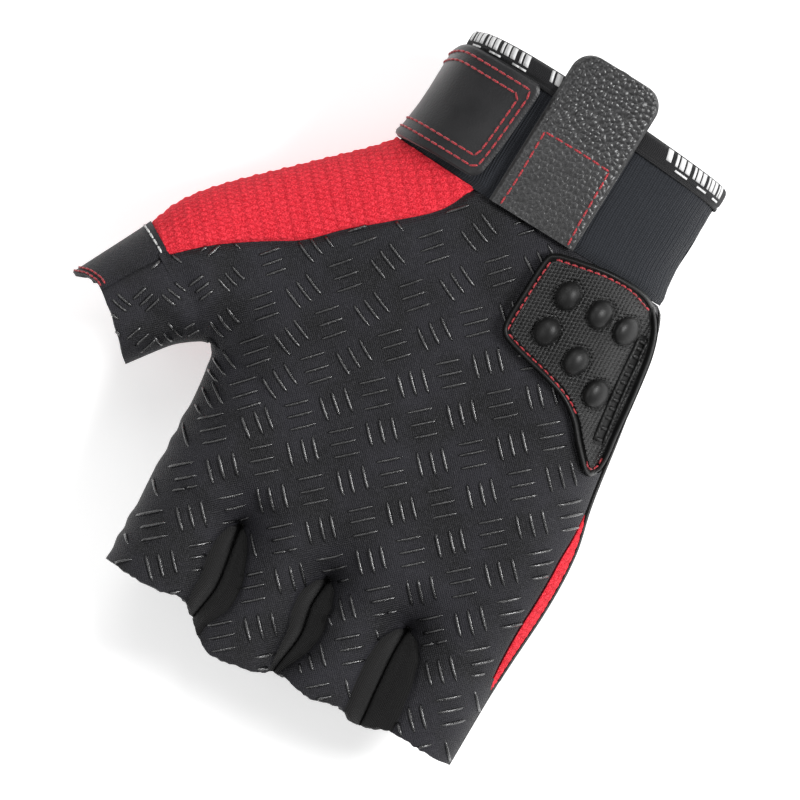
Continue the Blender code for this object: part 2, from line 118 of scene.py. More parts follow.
def smooth_curve(points, steps=8):
    """Plan points along a Catmull-Rom curve through the given ones."""
    knots = [np.array(p, float) for p in points]
    knots = [2 * knots[0] - knots[1], *knots, 2 * knots[-1] - knots[-2]]
    out = []
    for a, b, c, d in zip(knots, knots[1:], knots[2:], knots[3:], strict=False):
        for t in np.linspace(0, 1, steps, endpoint=False):
            square = (2 * a - 5 * b + 4 * c - d) * t**2
            cube = (3 * b - a - 3 * c + d) * t**3
            out.append(0.5 * (2 * b + (c - a) * t + square + cube))
    return np.array([*out, knots[-2]])


LEFT, RIGHT = smooth_curve(LEFT_EDGE), smooth_curve(RIGHT_EDGE)
THUMB_INNER, INDEX_SIDE = smooth_curve(THUMB_INNER_EDGE), smooth_curve(INDEX_EDGE)
PALM_THUMB_SEAM, BACK_THUMB_SEAM = smooth_curve(THUMB_SEAM), smooth_curve(BACK_SEAM)
SLITS = [smooth_curve(line) for line in SLIT_LINES]
END_LINE = smooth_curve(STALL_ENDS)


def distances(plan, curve):
    """Distance from each plan point to a curve given as points."""
    best = np.full(plan.shape[:-1], np.inf)
    for start, step in zip(curve[:-1], np.diff(curve, axis=0), strict=True):
        offset = plan - start
        along = np.clip(offset @ step / max(step @ step, 1e-12), 0, 1)
        best = np.minimum(best, ((offset - along[..., None] * step) ** 2).sum(-1))
    return np.sqrt(best)


def curve_x(curve, y):
    """The X at a station of a curve that runs steadily along Y."""
    order = np.argsort(curve[:, 1])
    return np.interp(y, curve[order, 1], curve[order, 0])


def curve_at(curve, share):
    """Points at shares of the way along a curve, as X and Y."""
    place = np.clip(share, 0, 1) * (len(curve) - 1)
    steps = np.arange(len(curve))
    return np.interp(place, steps, curve[:, 0]), np.interp(place, steps, curve[:, 1])


def ease(value, start, end):
    """A smooth step from 0 at start to 1 at end."""
    t = np.clip((value - start) / (end - start), 0, 1)
    return t * t * (3 - 2 * t)


def bell(value, width):
    """1 at zero, falling to nothing over a few widths."""
    return np.exp(-((value / width) ** 2))


def part_way(start, end, share):
    """The value at a share of the way from start to end."""
    return start + share * (end - start)


def rounded(corner, inward, limit=1.0):
    """How far an outline with a rounded corner has drawn back, at a distance inward from its end."""
    short = np.clip(corner - inward, 0, limit * corner)
    return corner - np.sqrt(corner**2 - short**2)


def thumb_along(x, y):
    """Distance of a plan point past the crotch, along the thumb's axis."""
    return (x - CROTCH[0]) * THUMB_AXIS[0] + (y - CROTCH[1]) * THUMB_AXIS[1]


def drape(x, y):
    """Soft unevenness of a worn fabric, in millimetres out of the skin."""
    roll = 0.45 * np.sin(x / 7.3 + 1.1 * np.sin(y / 13.0)) * np.sin(y / 9.1 + 0.8 * np.sin(x / 11.0) + 0.6)
    fine = 0.16 * np.sin(x / 3.1 + y / 4.7 + 1.3 * np.sin(y / 6.1)) * np.sin(y / 3.9 - x / 5.3)
    reach = np.hypot(x - CROTCH[0], y - CROTCH[1])
    turn = np.arctan2(y - CROTCH[1], x - CROTCH[0])
    creases = 0.75 * np.sin(turn * 9.0 + 0.5) * bell(reach - 13, 10.0)
    knuckle = 0.4 * np.sin(y / 1.9 + 0.7 * np.sin(x / 5.0)) * bell(y - ROOT_Y - 3, 5.5)
    return roll + fine + creases + knuckle * (x > -50)


def skin(x, y, side):
    """The outer skin over (PALM) or under (BACK) plan points, as an array of X, Y and Z."""
    x, y, side = np.broadcast_arrays(x, y, side)
    plan = np.stack([x, y], -1).astype(float)
    nearest = [np.maximum(distances(plan, edge), 1e-6) for edge in (LEFT, THUMB_INNER, INDEX_SIDE, RIGHT)]
    nearest += [np.maximum(distances(plan, slit) - SLIT_HALF, 1e-3) for slit in SLITS]
    inset = sum(away**-10.0 for away in nearest) ** -0.1  # a smooth form of the least of them
    hand = [np.interp(y, STATIONS, row) for row in (EDGE_RADIUS, SWELL, MIDDLE)]
    along = ease(thumb_along(x, y), -30, THUMB_END)
    thumb = (THUMB_RADIUS, THUMB_SWELL + 1.5 * (1 - along), part_way(*THUMB_MIDDLE, along))
    share = ease(x, *THUMB_BLEND_X)
    radius, swell, middle = (part_way(*pair, share) for pair in zip(hand, thumb, strict=True))
    depth = np.clip(inset / radius, 0, 1)
    round_part = np.sqrt(1 - (1 - depth) ** 2)
    softness = drape(x, y) * np.where(side > 0, 1.0, 0.6) * depth * ease(y, 96, 84)
    z = middle + side * (swell * round_part + softness)
    by_index = ease(x, -35, -45) * ease(x, -86, -78) * ease(y, 26, 18)
    worn = 0.2 * np.sin(y / 1.5 + 2 * np.sin(y / 4.3)) * by_index
    return np.stack([x + worn, y, z], -1)


def round_section(left, right, y, angle):
    """Points of the closed section between X limits; 90 degrees is the palm side and 270 the back."""
    turn = np.radians(angle)
    x = (left + right) / 2 + (right - left) / 2 * np.cos(turn)
    return skin(x, y, np.where(np.sin(turn) >= 0, PALM, BACK))


def spread(left, right, share):
    """X between two limits, with the points gathered towards both."""
    return (left + right) / 2 - (right - left) / 2 * np.cos(share * math.pi)


# ---- patches: grids of points on the skin
def grid(place, across, along):
    """The points that place(u, v) gives over a grid, as an (across, along, 3) array."""
    shares = [np.linspace(0, 1, max(int(count * DENSE), 4)) for count in (across, along)]
    return place(*np.meshgrid(*shares, indexing="ij"))


def normals(points, core):
    """Unit normals of a grid of points, facing away from core."""
    normal = np.cross(np.gradient(points, axis=0), np.gradient(points, axis=1))
    normal /= np.maximum(np.linalg.norm(normal, axis=-1, keepdims=True), 1e-9)
    away = (normal * (points - core)).sum(-1)
    return normal if away.sum() >= 0 else -normal


def run_lengths(points, axis):
    """Mean distance along one direction of a grid, from its first row."""
    step = np.linalg.norm(np.diff(points, axis=axis), axis=-1)
    total = np.cumsum(step, axis=axis)
    return np.concatenate([np.zeros_like(np.take(total, [0], axis)), total], axis)


def edge_distance(points, edges):
    """Distance in millimetres of each grid point to the nearest of the named edges: u0, u1, v0, v1."""
    best = np.full(points.shape[:2], 1e3)
    for edge in edges:
        length = run_lengths(points, "uv".index(edge[0]))
        last = length[-1:, :] if edge[0] == "u" else length[:, -1:]
        best = np.minimum(best, length if edge[1] == "0" else last - length)
    return best


def seamed(points, core, edges, depth=0.8, width=1.1, puff=0.25):
    """A sewn panel: its surface dips at the seams along its edges and stands a little proud between them."""
    away = edge_distance(points, edges)
    lift = puff * (1 - np.exp(-away / 5.0)) - depth * bell(away, width)
    return points + normals(points, core) * lift[..., None]


def add_object(name, data):
    """Puts new data into the scene as an object."""
    obj = bpy.data.objects.new(name, data)
    bpy.context.scene.collection.objects.link(obj)
    return obj


def grid_object(name, points, core, surfaces, thickness=FABRIC, pattern="arc", rim=0, smooth=None):
    """A closed sheet: a grid of outer points facing away from core, an inner face below it and a rim between.
    The rim takes the material at that index, and the pattern coordinates follow the plan or the arc lengths.
    A sheet with relief gives its smooth grid too, and the inner face lies below that."""
    nu, nv = points.shape[:2]
    count = nu * nv
    index = np.arange(count).reshape(nu, nv)
    outer = np.stack([index[:-1, :-1], index[1:, :-1], index[1:, 1:], index[:-1, 1:]], -1).reshape(-1, 4)
    loop = np.concatenate([index[:-1, 0], index[-1, :-1], index[:0:-1, -1], index[0, :0:-1]])
    after = np.roll(loop, -1)
    walls = np.stack([after, loop, loop + count, after + count], -1)
    faces = np.concatenate([outer, outer[:, ::-1] + count, walls])
    flat = np.cross(np.gradient(points, axis=0), np.gradient(points, axis=1))
    if (flat * (points - core)).sum() < 0:
        faces = faces[:, ::-1]
    base = points if smooth is None else smooth
    inner = base - normals(base, core) * thickness
    mesh = bpy.data.meshes.new(name)
    vertices = np.concatenate([points.reshape(-1, 3), inner.reshape(-1, 3)]) * MM
    mesh.from_pydata(vertices.tolist(), [], faces.tolist())
    arc = np.stack([run_lengths(points, 0), run_lengths(points, 1)], -1)
    uv = points[..., :2] if pattern == "plan" else arc
    layer = mesh.uv_layers.new(name="pattern")
    layer.data.foreach_set("uv", uv.reshape(-1, 2)[faces.ravel() % count].astype(np.float32).ravel())
    for surface in surfaces:
        mesh.materials.append(surface)
    used = np.repeat([0, rim], [2 * len(outer), len(walls)])
    mesh.polygons.foreach_set("material_index", used.astype(np.int32))
    mesh.shade_smooth()
    mesh.set_sharp_from_angle(angle=SHARP_ANGLE)
    return add_object(name, mesh)


def loft(rings):
    """The vertices and faces of a closed body through rings of points, in millimetres."""
    sides = len(rings[0])
    last = (len(rings) - 1) * sides
    faces = [tuple(range(sides)), tuple(range(last, last + sides))]
    for row in range(0, last, sides):
        for k in range(sides):
            a, b = row + k, row + (k + 1) % sides
            faces.append((a, b, b + sides, a + sides))
    return [point for ring in rings for point in ring], faces


def joined(bodies):
    """The vertices and faces of several bodies as those of one."""
    vertices, faces = [], []
    for points, polygons in bodies:
        faces += [tuple(i + len(vertices) for i in face) for face in polygons]
        vertices += points
    return vertices, faces


def add_body(obj, surface, body):
    """Adds a body made by loft or joined to a piece, with a material that the piece may have already."""
    slots = obj.data.materials
    if slots.find(surface.name) < 0:
        slots.append(surface)
    vertices, faces = body
    bm = bmesh.new()
    bm.from_mesh(obj.data)
    made = [bm.verts.new(Vector(v) * MM) for v in vertices]
    added = [bm.faces.new([made[i] for i in face]) for face in faces]
    for new in added:
        new.material_index = slots.find(surface.name)
        new.smooth = True
    bmesh.ops.recalc_face_normals(bm, faces=added)
    bm.to_mesh(obj.data)
    bm.free()


def paint(obj, slot_index, chosen):
    """Gives a piece's faces another of its materials where chosen holds for their centres in millimetres."""
    centre = np.empty(len(obj.data.polygons) * 3, np.float32)
    obj.data.polygons.foreach_get("center", centre)
    used = np.empty(len(obj.data.polygons), np.int32)
    obj.data.polygons.foreach_get("material_index", used)
    used[chosen(centre.reshape(-1, 3) / MM)] = slot_index
    obj.data.polygons.foreach_set("material_index", used)


def surface_tree(obj):
    """A search tree over a piece's own mesh, for laying things on it."""
    corners = [vertex.co / MM for vertex in obj.data.vertices]
    return BVHTree.FromPolygons(corners, [polygon.vertices[:] for polygon in obj.data.polygons])


def drop(tree, x, y):
    """The point and normal of a piece straight below a plan point, or None."""
    place, normal, _, _ = tree.ray_cast(Vector((x, y, 200)), Vector((0, 0, -1)))
    if place is None:
        return None
    return np.array(place), np.array(normal if normal.z > 0 else -normal)


# ---- embossed bars
BLOCK = (14.6, 14.3)  # distance between like blocks of bars
BAR_LENGTH, BAR_HALF, BAR_HEIGHT, BAR_SPACING = 7.1, 0.46, 0.68, 3.15
BAR_SUNK = 0.12  # how deep a bar's underside lies in the fabric
BAR_ANGLES = (-45.5, 43.5)
BLOCK_ORIGIN = (-7.3, 27.9)


def stretched(x, y):
    """Where a point of the regular pattern lies on the worn fabric, which is pulled towards the thumb."""
    a, b = np.clip(-7.3 - x, -30, 45), y - 42.2
    b = max(b, -0.9 * a if a > 0 else 0.0)
    fade = float(ease(y, 4, 26))
    shift_x = -0.085 * max(a, 0) - max(0.13 + 0.004 * a, 0) * b
    shift_y = -0.072 * max(a, 0) - 0.00445 * max(a, 0) ** 2 - max(0.055 + 0.0055 * a, 0) * b
    return x + shift_x * fade, y + shift_y * fade


def lean(x, y):
    """How far the two kinds of blocks lean where the fabric is pulled, in degrees."""
    pull = float(ease(-x + 0.6 * (y - 30), 8, 42) * ease(y, 0, 24))
    thumb = float(ease(-x, 50, 70))
    return 24 * pull + 14 * thumb, 7 * pull + 24 * thumb


def bar_lines():
    """Centre, direction and length of every embossed bar of the palm fabric, over the whole plan."""
    rng = np.random.default_rng(7)
    for i in range(-8, 8):
        for j in range(-7, 9):
            for kind, half in enumerate((0.0, 0.5)):
                cx = BLOCK_ORIGIN[0] + (i + half) * BLOCK[0]
                cx, cy = stretched(cx, BLOCK_ORIGIN[1] + (j + half) * BLOCK[1])
                turn = math.radians(BAR_ANGLES[kind] + lean(cx, cy)[kind])
                crowded = 1 - 0.28 * float(ease(-cx, 42, 62) * ease(cy, 0, 20))
                for k in (-1, 0, 1):
                    jitter = rng.uniform(-0.25, 0.25, 3)
                    x = cx - k * BAR_SPACING * crowded * math.sin(turn) + jitter[0]
                    y = cy + k * BAR_SPACING * crowded * math.cos(turn) + jitter[1]
                    yield x, y, turn, BAR_LENGTH * crowded * (1 + 0.12 * jitter[2])


BARS = list(bar_lines())


def bar_body(tree, x, y, turn, length):
    """One raised bar laid on a piece, or None where it doesn't reach the piece."""
    run = []
    for t in np.linspace(-0.5, 0.5, 9):
        bow = 0.10 * (4 * t * t - 1)
        px = x + length * t * math.cos(turn) - bow * math.sin(turn)
        py = y + length * t * math.sin(turn) + bow * math.cos(turn)
        found = drop(tree, px, py)
        if found is not None and found[1][2] > 0.35:
            run.append((t, *found))
        elif run:
            break
    if len(run) < 4:
        return None
    along = run[-1][1] - run[0][1]
    along /= np.linalg.norm(along)
    rings = []
    for t, place, normal in run:
        across = np.cross(normal, along)
        across /= np.linalg.norm(across)
        taper = math.sqrt(max(1 - (2 * t) ** 4, 0.02))
        half, height = BAR_HALF * taper, BAR_HEIGHT * taper
        rings.append([place + across * math.cos(angle) * half + normal * (math.sin(angle) * height - BAR_SUNK)
                      for angle in np.linspace(0, math.pi, 5)])
    return loft(rings)


def emboss(obj):
    """Adds the palm fabric's raised bars to a piece."""
    tree = surface_tree(obj)
    low, high = np.array(obj.bound_box[0]) / MM - 5, np.array(obj.bound_box[6]) / MM + 5
    near = [bar for bar in BARS if low[0] < bar[0] < high[0] and low[1] < bar[1] < high[1]]
    bodies = [bar_body(tree, *bar) for bar in near]
    add_body(obj, BAR_GLOSS, joined([body for body in bodies if body]))


# ---- stitches
def walk(path):
    """The distance travelled at each point of a path, and a function that gives its columns at a distance."""
    steps = np.linalg.norm(np.diff(path[:, :3], axis=0), axis=1)
    travel = np.concatenate([[0], np.cumsum(steps)])
    return travel, lambda stop: np.stack([np.interp(stop, travel, column) for column in path.T], -1)


def stitch_body(place, along, normal, length, radius):
    """One stitch: a thread that rises out of the fabric and dips back into it."""
    across = np.cross(normal, along)
    rings = []
    for t in np.linspace(-0.5, 0.5, 6):
        centre = place + along * length * t + normal * radius * (0.7 - 14.4 * t**4)
        size = radius * math.sqrt(max(1 - (2 * t) ** 6, 0.15))
        rings.append([centre + (across * math.cos(turn) + normal * math.sin(turn)) * size
                      for turn in np.radians(range(0, 360, 60))])
    return loft(rings)


def stitch_row(path, length=2.3, pitch=2.45, radius=0.28):
    """A row of stitches along a path, whose rows are a point and its surface normal."""
    travel, at = walk(path)
    count = max(int(travel[-1] / pitch), 1)
    bodies = []
    for middle in (np.arange(count) + 0.5) * travel[-1] / count:
        behind, ahead = at(middle - 0.8)[:3], at(middle + 0.8)[:3]
        along = (ahead - behind) / np.linalg.norm(ahead - behind)
        normal = at(middle)[3:]
        normal = normal - along * (normal @ along)
        normal /= np.linalg.norm(normal)
        bodies.append(stitch_body((behind + ahead) / 2, along, normal, length, radius))
    return joined(bodies)


def sew(obj, path, surface, **size):
    """Sews stitches onto a piece. A plan path is dropped on it, one in space goes to the nearest points."""
    tree = surface_tree(obj)
    travel, at = walk(path)
    track = at(np.linspace(0, travel[-1], max(int(travel[-1] / 0.4), 3)))
    if track.shape[1] == 2:
        laid = [found for found in (drop(tree, x, y) for x, y in track) if found]
    else:
        laid = [tree.find_nearest(Vector(point))[:2] for point in track]
    add_body(obj, surface, stitch_row(np.array([(*place, *normal) for place, normal in laid]), **size))


# ---- materials
class Look:
    """A material under construction: socket inputs take numbers, colours or other nodes' outputs."""

    def __init__(self, name):
        self.material = bpy.data.materials.new(name)
        self.material.use_nodes = True
        self.tree = self.material.node_tree
        self.shader = self.tree.nodes["Principled BSDF"]

    def node(self, kind, inputs=(), **settings):
        """A new node with its inputs fed."""
        made = self.tree.nodes.new("ShaderNode" + kind)
        for key, value in settings.items():
            setattr(made, key, value)
        for key, value in dict(inputs).items():
            self.feed(made.inputs[key], value)
        return made

    def feed(self, socket, value):
        """Links another node's output to a socket, or sets its value."""
        if isinstance(value, bpy.types.NodeSocket):
            self.tree.links.new(value, socket)
        else:
            socket.default_value = value

    def set(self, **inputs):
        """Feeds the shader's inputs, with _ for a space in their names, and gives the material."""
        for key, value in inputs.items():
            self.feed(self.shader.inputs[key.replace("_", " ")], value)
        return self.material

    def uv(self, turn=0.0):
        """The pattern coordinates in millimetres, turned."""
        source = self.node("UVMap", uv_map="pattern").outputs["UV"]
        return self.node("Mapping", {"Vector": source, "Rotation": (0, 0, turn)}).outputs[0]

    def space(self):
        """Object coordinates in millimetres."""
        source = self.node("TexCoord").outputs["Object"]
        return self.node("Mapping", {"Vector": source, "Scale": (1 / MM,) * 3}).outputs[0]

    def noise(self, scale, detail, rough=0.6):
        """Noise over the object's own space, with a scale per millimetre."""
        inputs = {"Vector": self.space(), "Scale": scale, "Detail": detail, "Roughness": rough}
        return self.node("TexNoise", inputs).outputs["Fac"]

    def ramp(self, value, *stops):
        """A ramp between two (position, grey) stops."""
        made = self.node("ValToRGB", {"Fac": value})
        elements = made.color_ramp.elements
        for element, (place, grey) in zip(elements, stops, strict=True):
            element.position = place
            element.color = (grey, grey, grey, 1)
        return made.outputs["Color"]

    def maths(self, operation, a, b):
        """One step of arithmetic."""
        return self.node("Math", {0: a, 1: b}, operation=operation).outputs[0]

    def bump(self, height, distance, strength):
        """A bumped normal; the distance is in millimetres."""
        inputs = {"Height": height, "Distance": distance * MM, "Strength": strength}
        return self.node("Bump", inputs).outputs["Normal"]

    def mix(self, share, a, b):
        """A colour that goes from a to b with share."""
        made = self.node("Mix", data_type="RGBA")
        self.feed(made.inputs[0], share)
        self.feed(made.inputs[6], a if isinstance(a, bpy.types.NodeSocket) else (*a, 1))
        self.feed(made.inputs[7], b if isinstance(b, bpy.types.NodeSocket) else (*b, 1))
        return made.outputs[2]

    def wave(self, where, scale, direction, distortion=0.0):
        """Parallel bands."""
        inputs = {"Vector": where, "Scale": scale, "Distortion": distortion, "Detail": 0.0}
        return self.node("TexWave", inputs, bands_direction=direction).outputs["Fac"]


def palm_ground():
    """Matt black synthetic suede with a fine woven backing that shows through."""
    look = Look("palm_ground")
    weave_u = look.wave(look.uv(0.78), 0.62, "X", 1.2)
    weave_v = look.wave(look.uv(0.78), 0.62, "Y", 1.2)
    weave = look.maths("MULTIPLY", weave_u, weave_v)
    cloud = look.noise(0.075, 5)
    speck = look.noise(2.2, 2, 0.8)
    height = look.maths("ADD", look.maths("MULTIPLY", weave, 0.6), speck)
    cloudy = look.ramp(cloud, (0.38, 0.0), (0.62, 1.0))
    colour = look.mix(cloudy, (0.0050, 0.0050, 0.0060), (0.0150, 0.0146, 0.0190))
    flecked = look.mix(look.ramp(speck, (0.50, 0.0), (0.80, 0.6)), colour, (0.050, 0.049, 0.056))
    return look.set(Base_Color=flecked, Roughness=look.ramp(cloud, (0.3, 0.50), (0.7, 0.66)),
                    Specular_IOR_Level=0.3, Normal=look.bump(height, 0.30, 0.9))


def bar_gloss():
    """The raised bars: smooth rubbery print that takes small broken highlights."""
    look = Look("bar_gloss")
    wear = look.noise(0.8, 3)
    fine = look.noise(2.6, 2, 0.8)
    return look.set(Base_Color=look.mix(wear, (0.003, 0.003, 0.0035), (0.008, 0.008, 0.009)),
                    Roughness=look.ramp(wear, (0.35, 0.16), (0.7, 0.34)), Specular_IOR_Level=0.75,
                    Coat_Weight=0.7, Coat_Roughness=0.15, Normal=look.bump(fine, 0.20, 0.9))


def red_mesh():
    """Knitted air mesh: bright rough yarn, darkened towards the hollows of its relief as painted shade."""
    look = Look("red_mesh")
    yarn = look.noise(3.0, 2, 0.8)
    hollow = look.node("UVMap", uv_map="hollow").outputs["UV"]
    depth = look.node("SeparateXYZ", {0: hollow}).outputs[0]
    # painted shade: the yarn colour goes towards a dark red where the relief is deep, as if shade fell in the
    # hollows
    painted_shade = look.ramp(depth, (0.50, 0.0), (0.95, 0.32))
    lit = look.mix(look.ramp(yarn, (0.40, 0.0), (0.60, 1.0)), (0.57, 0.006, 0.016), (1.0, 0.062, 0.090))
    return look.set(Base_Color=look.mix(painted_shade, lit, (0.30, 0.001, 0.006)), Roughness=0.9,
                    Specular_IOR_Level=0.15, Sheen_Weight=0.08, Sheen_Tint=(1.0, 0.3, 0.3, 1),
                    Normal=look.bump(yarn, 0.4, 1.0))


def times(colour, factor):
    """A colour made paler or darker."""
    return tuple(channel * factor for channel in colour)


def knit(name, base, pitch, sheen):
    """Fine knit of one colour with ribs along the hand and paler specks; its colour is painted paler on the
    raised ribs and darker in the grooves, as light and shade.
    """
    look = Look(name)
    ribs = look.wave(look.uv(), 0.314 / pitch, "X", 0.8)
    courses = look.wave(look.uv(), 0.44 / pitch, "Y", 1.5)
    cloud = look.noise(0.12, 4)
    height = look.maths("MULTIPLY", ribs, look.maths("ADD", courses, 0.35))
    speck = look.noise(2.4, 2, 0.8)
    # painted light and shade: paler where the ribs stand high and darker in the grooves, varied by a random
    # cloud
    tone_with_rib_shade = look.mix(look.maths("MULTIPLY", height, look.maths("ADD", cloud, 0.2)), base, times(base, 1.7))
    specked = look.mix(look.ramp(speck, (0.5, 0.0), (0.8, 0.6)), tone_with_rib_shade, times(base, 2.6))
    return look.set(Base_Color=specked, Roughness=0.85, Specular_IOR_Level=0.2, Sheen_Weight=sheen,
                    Normal=look.bump(height, 0.25, 0.8))


def smooth_leather():
    """The strap's leather: smooth, with a faint cell grain."""
    look = Look("smooth_leather")
    grain = look.node("TexVoronoi", {"Vector": look.space(), "Scale": 1.9, "Randomness": 1.0}, feature="F1")
    cloud = look.noise(0.1, 4)
    return look.set(Base_Color=look.mix(cloud, (0.013, 0.013, 0.014), (0.024, 0.0235, 0.025)),
                    Roughness=look.ramp(cloud, (0.3, 0.34), (0.7, 0.48)), Specular_IOR_Level=0.3,
                    Normal=look.bump(look.maths("SUBTRACT", 1.0, grain.outputs["Distance"]), 0.10, 0.5))


def grain_leather():
    """The pull tab's leather; its pebbles are modelled, and only the fine pits are in the material."""
    look = Look("grain_leather")
    wear = look.noise(0.16, 4)
    pits = look.noise(3.0, 2)
    return look.set(Base_Color=look.mix(wear, (0.015, 0.015, 0.0155), (0.032, 0.032, 0.033)),
                    Roughness=look.ramp(pits, (0.35, 0.26), (0.65, 0.42)), Specular_IOR_Level=0.6,
                    Normal=look.bump(pits, 0.07, 0.7))


def rubber(name, weave):
    """Moulded rubber, smooth or with a pressed diamond pattern of some strength."""
    look = Look(name)
    cloud = look.noise(0.2, 4)
    lines = [look.wave(look.uv(math.radians(turn)), 0.34, "X") for turn in (-3, 67)]
    diamonds = look.maths("MULTIPLY", *lines)
    height = look.maths("ADD", look.maths("MULTIPLY", diamonds, weave), look.noise(4.0, 2))
    return look.set(Base_Color=look.mix(cloud, (0.006, 0.006, 0.006), (0.013, 0.013, 0.013)),
                    Roughness=look.ramp(cloud, (0.3, 0.36), (0.7, 0.48)),
                    Specular_IOR_Level=0.28 + 0.14 * weave,
                    Normal=look.bump(height, 0.05 + 0.14 * weave, 0.8))


def thread(name, colour):
    """Twisted sewing thread."""
    look = Look(name)
    twist = look.wave(look.space(), 0.9, "DIAGONAL", 0.6)
    return look.set(Base_Color=look.mix(twist, colour, times(colour, 0.45)), Roughness=0.6,
                    Sheen_Weight=0.3, Normal=look.bump(twist, 0.12, 0.8))


def plain(name, colour, rough, grain=0.1, scale=2.5):
    """A simple moulded or foamed surface with fine grain and uneven sheen."""
    look = Look(name)
    cloud = look.noise(0.15, 4)
    fine = look.noise(scale, 3)
    return look.set(Base_Color=look.mix(cloud, times(colour, 0.75), times(colour, 1.3)),
                    Roughness=look.ramp(cloud, (0.3, rough - 0.07), (0.7, rough + 0.07)),
                    Normal=look.bump(fine, grain, 0.6))


GROUND, BAR_GLOSS, RED = palm_ground(), bar_gloss(), red_mesh()
KNIT = knit("black_knit", (0.0062, 0.0060, 0.0060), pitch=0.6, sheen=0.08)
CUFF_KNIT = knit("cuff_elastic", (0.0135, 0.0150, 0.0185), pitch=0.7, sheen=0.1)
STRAP, TAB = smooth_leather(), grain_leather()
RUBBER, PLATE = rubber("moulded_rubber", weave=0.0), rubber("rubber_plate", weave=2.0)
TAPE = knit("binding_tape", (0.010, 0.010, 0.011), pitch=0.5, sheen=0.1)
RED_THREAD = thread("red_thread", (0.50, 0.014, 0.026))
WHITE_THREAD = thread("white_thread", (0.75, 0.75, 0.74))
PRINT = plain("white_print", (0.62, 0.62, 0.62), rough=0.6)
CUT_EDGE = plain("cut_edge", (0.16, 0.16, 0.165), rough=0.5)
SHELL = plain("guard_shell", (0.016, 0.016, 0.017), rough=0.36, grain=0.04, scale=5.0)
FOAM = plain("foam", (0.09, 0.09, 0.09), rough=0.9, grain=0.4, scale=1.2)
PILE = plain("hook_loop", (0.014, 0.014, 0.015), rough=0.9, grain=0.5, scale=2.0)


def place_on_hand(obj, slot, *nodes):
    """Rides a piece on the hand, standing for CAD nodes."""
    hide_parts(*nodes)
    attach(obj, "hand")


def place_blended(obj, body, slot, start, end, *nodes):
    """Hides the CAD nodes that a piece stands for and bakes its transform into its mesh; the body, start and
    end are not used.
    """
    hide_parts(*nodes)
    tuple(np.array(start) * MM)
    tuple(np.array(end) * MM)
    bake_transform(obj)


# ---- the hand's panels
STRIP_TOP_Y, STRIP_LOW_Y = 39.5, -15.5  # the red strip's ends: under the slider and on the little finger
BACK_WRAP = 0.52  # how far the back panel comes round the little-finger edge


def strip_width(y):
    """How much of the mesh strip shows on the palm side, inside the little-finger edge."""
    return 0.4 + 2.3 * ease(y, STRIP_TOP_Y, 22) * ease(y, -22, 8)


def palm_left(y):
    """Left limit of the palm panel: the thumb seam, then the thumb's root line, then the index side."""
    root_line = CROTCH[0] + (THUMB_ROOT - (y - CROTCH[1]) * THUMB_AXIS[1]) / THUMB_AXIS[0]
    by_root = np.maximum(root_line, THUMB_SEAM[-1][0] - 1.8)
    below_seam = np.where(y > CROTCH[1], by_root, curve_x(INDEX_SIDE, y))
    return np.where(y > THUMB_SEAM[-1][1], curve_x(PALM_THUMB_SEAM, y), below_seam)


def make_palm():
    """The embossed palm, from the knuckles to the cuff."""
    def place(u, v):
        y = part_way(ROOT_Y, CUFF_Y[0], v)
        return skin(spread(palm_left(y), curve_x(RIGHT, y) - strip_width(y), u), y, PALM)

    points = grid(place, 120, 120)
    # Only the thumb seam, the strip's seam and the cuff's seam are sewn: the fabric runs on into the stalls.
    sewn = seamed(points, HAND_CORE, ("u1", "v1"))
    sewn[..., 2] -= 0.8 * bell(distances(points[..., :2], PALM_THUMB_SEAM), 1.1)
    obj = grid_object("palm_fabric", sewn, HAND_CORE, [GROUND], pattern="plan")
    emboss(obj)
    place_on_hand(obj, "embossed_palm", "palm_panel")


def make_side_strip():
    """The narrow strip of red mesh along the little-finger edge."""
    def place(u, v):
        y = part_way(ROOT_Y, STRIP_TOP_Y, v)
        width = strip_width(y) - 0.3
        return skin(curve_x(RIGHT, y) - 0.3 - width * u**1.6, y, PALM)

    points = seamed(grid(place, 16, 220), HAND_CORE, ("u0", "u1"), depth=0.35, width=0.5, puff=0.35)
    obj = mesh_object("side_mesh", points, HAND_CORE, (0, 1, 0), height=0.2)
    place_on_hand(obj, "red_mesh", "side_mesh_strip")


def make_back():
    """The back of the hand, which comes round the little-finger edge a little."""
    def place(u, v):
        y = part_way(ROOT_Y, CUFF_Y[0], v)
        seam_left = curve_x(BACK_THUMB_SEAM, y)
        left = np.where(y > BACK_SEAM[-1][1], seam_left, curve_x(INDEX_SIDE, y))
        right = curve_x(RIGHT, y)
        reach = spread(left, right + BACK_WRAP, u)
        over = reach > right
        return skin(np.where(over, 2 * right - reach, reach), y, np.where(over, PALM, BACK))

    points = seamed(grid(place, 110, 110), HAND_CORE, ("u0", "v1"))
    place_on_hand(grid_object("back_fabric", points, HAND_CORE, [KNIT]), "black_knit", "back_panel")


MESH_PITCH = 2.1
THUMB_MESH_LOW = 38.8  # the station where the red panel ends at the thumb's outer edge


def hex_cells(across, along):
    """Rounded cells on a hexagonal net: about 1 on a cell and -0.5 between cells."""
    wave = 2 * math.pi / (MESH_PITCH * math.cos(math.pi / 6))
    turns = [math.radians(angle) for angle in (0, 60, 120)]
    return sum(np.cos(wave * (across * math.sin(t) + along * math.cos(t))) for t in turns) / 3


def mesh_object(name, points, core, lengthwise, height):
    """A panel of air mesh: its cells as relief, and how deep each point lies in a layer for the material's
    painted shade.
    """
    along = points @ np.array(lengthwise)
    relief = np.clip(hex_cells(run_lengths(points, 0), along) + 0.35, 0, 1.35) ** 0.8
    fade = 1 - np.exp(-edge_distance(points, ("u0", "u1")) / 0.8)
    courses = 0.12 * np.cos(along * 1.7)
    raised = points + normals(points, core) * ((height * (relief - 0.6) + courses) * fade)[..., None]
    obj = grid_object(name, raised, core, [RED], smooth=points)
    # the depth of the hollows, which the material darkens as painted shade
    add_hollow_shade(obj, relief)
    return obj


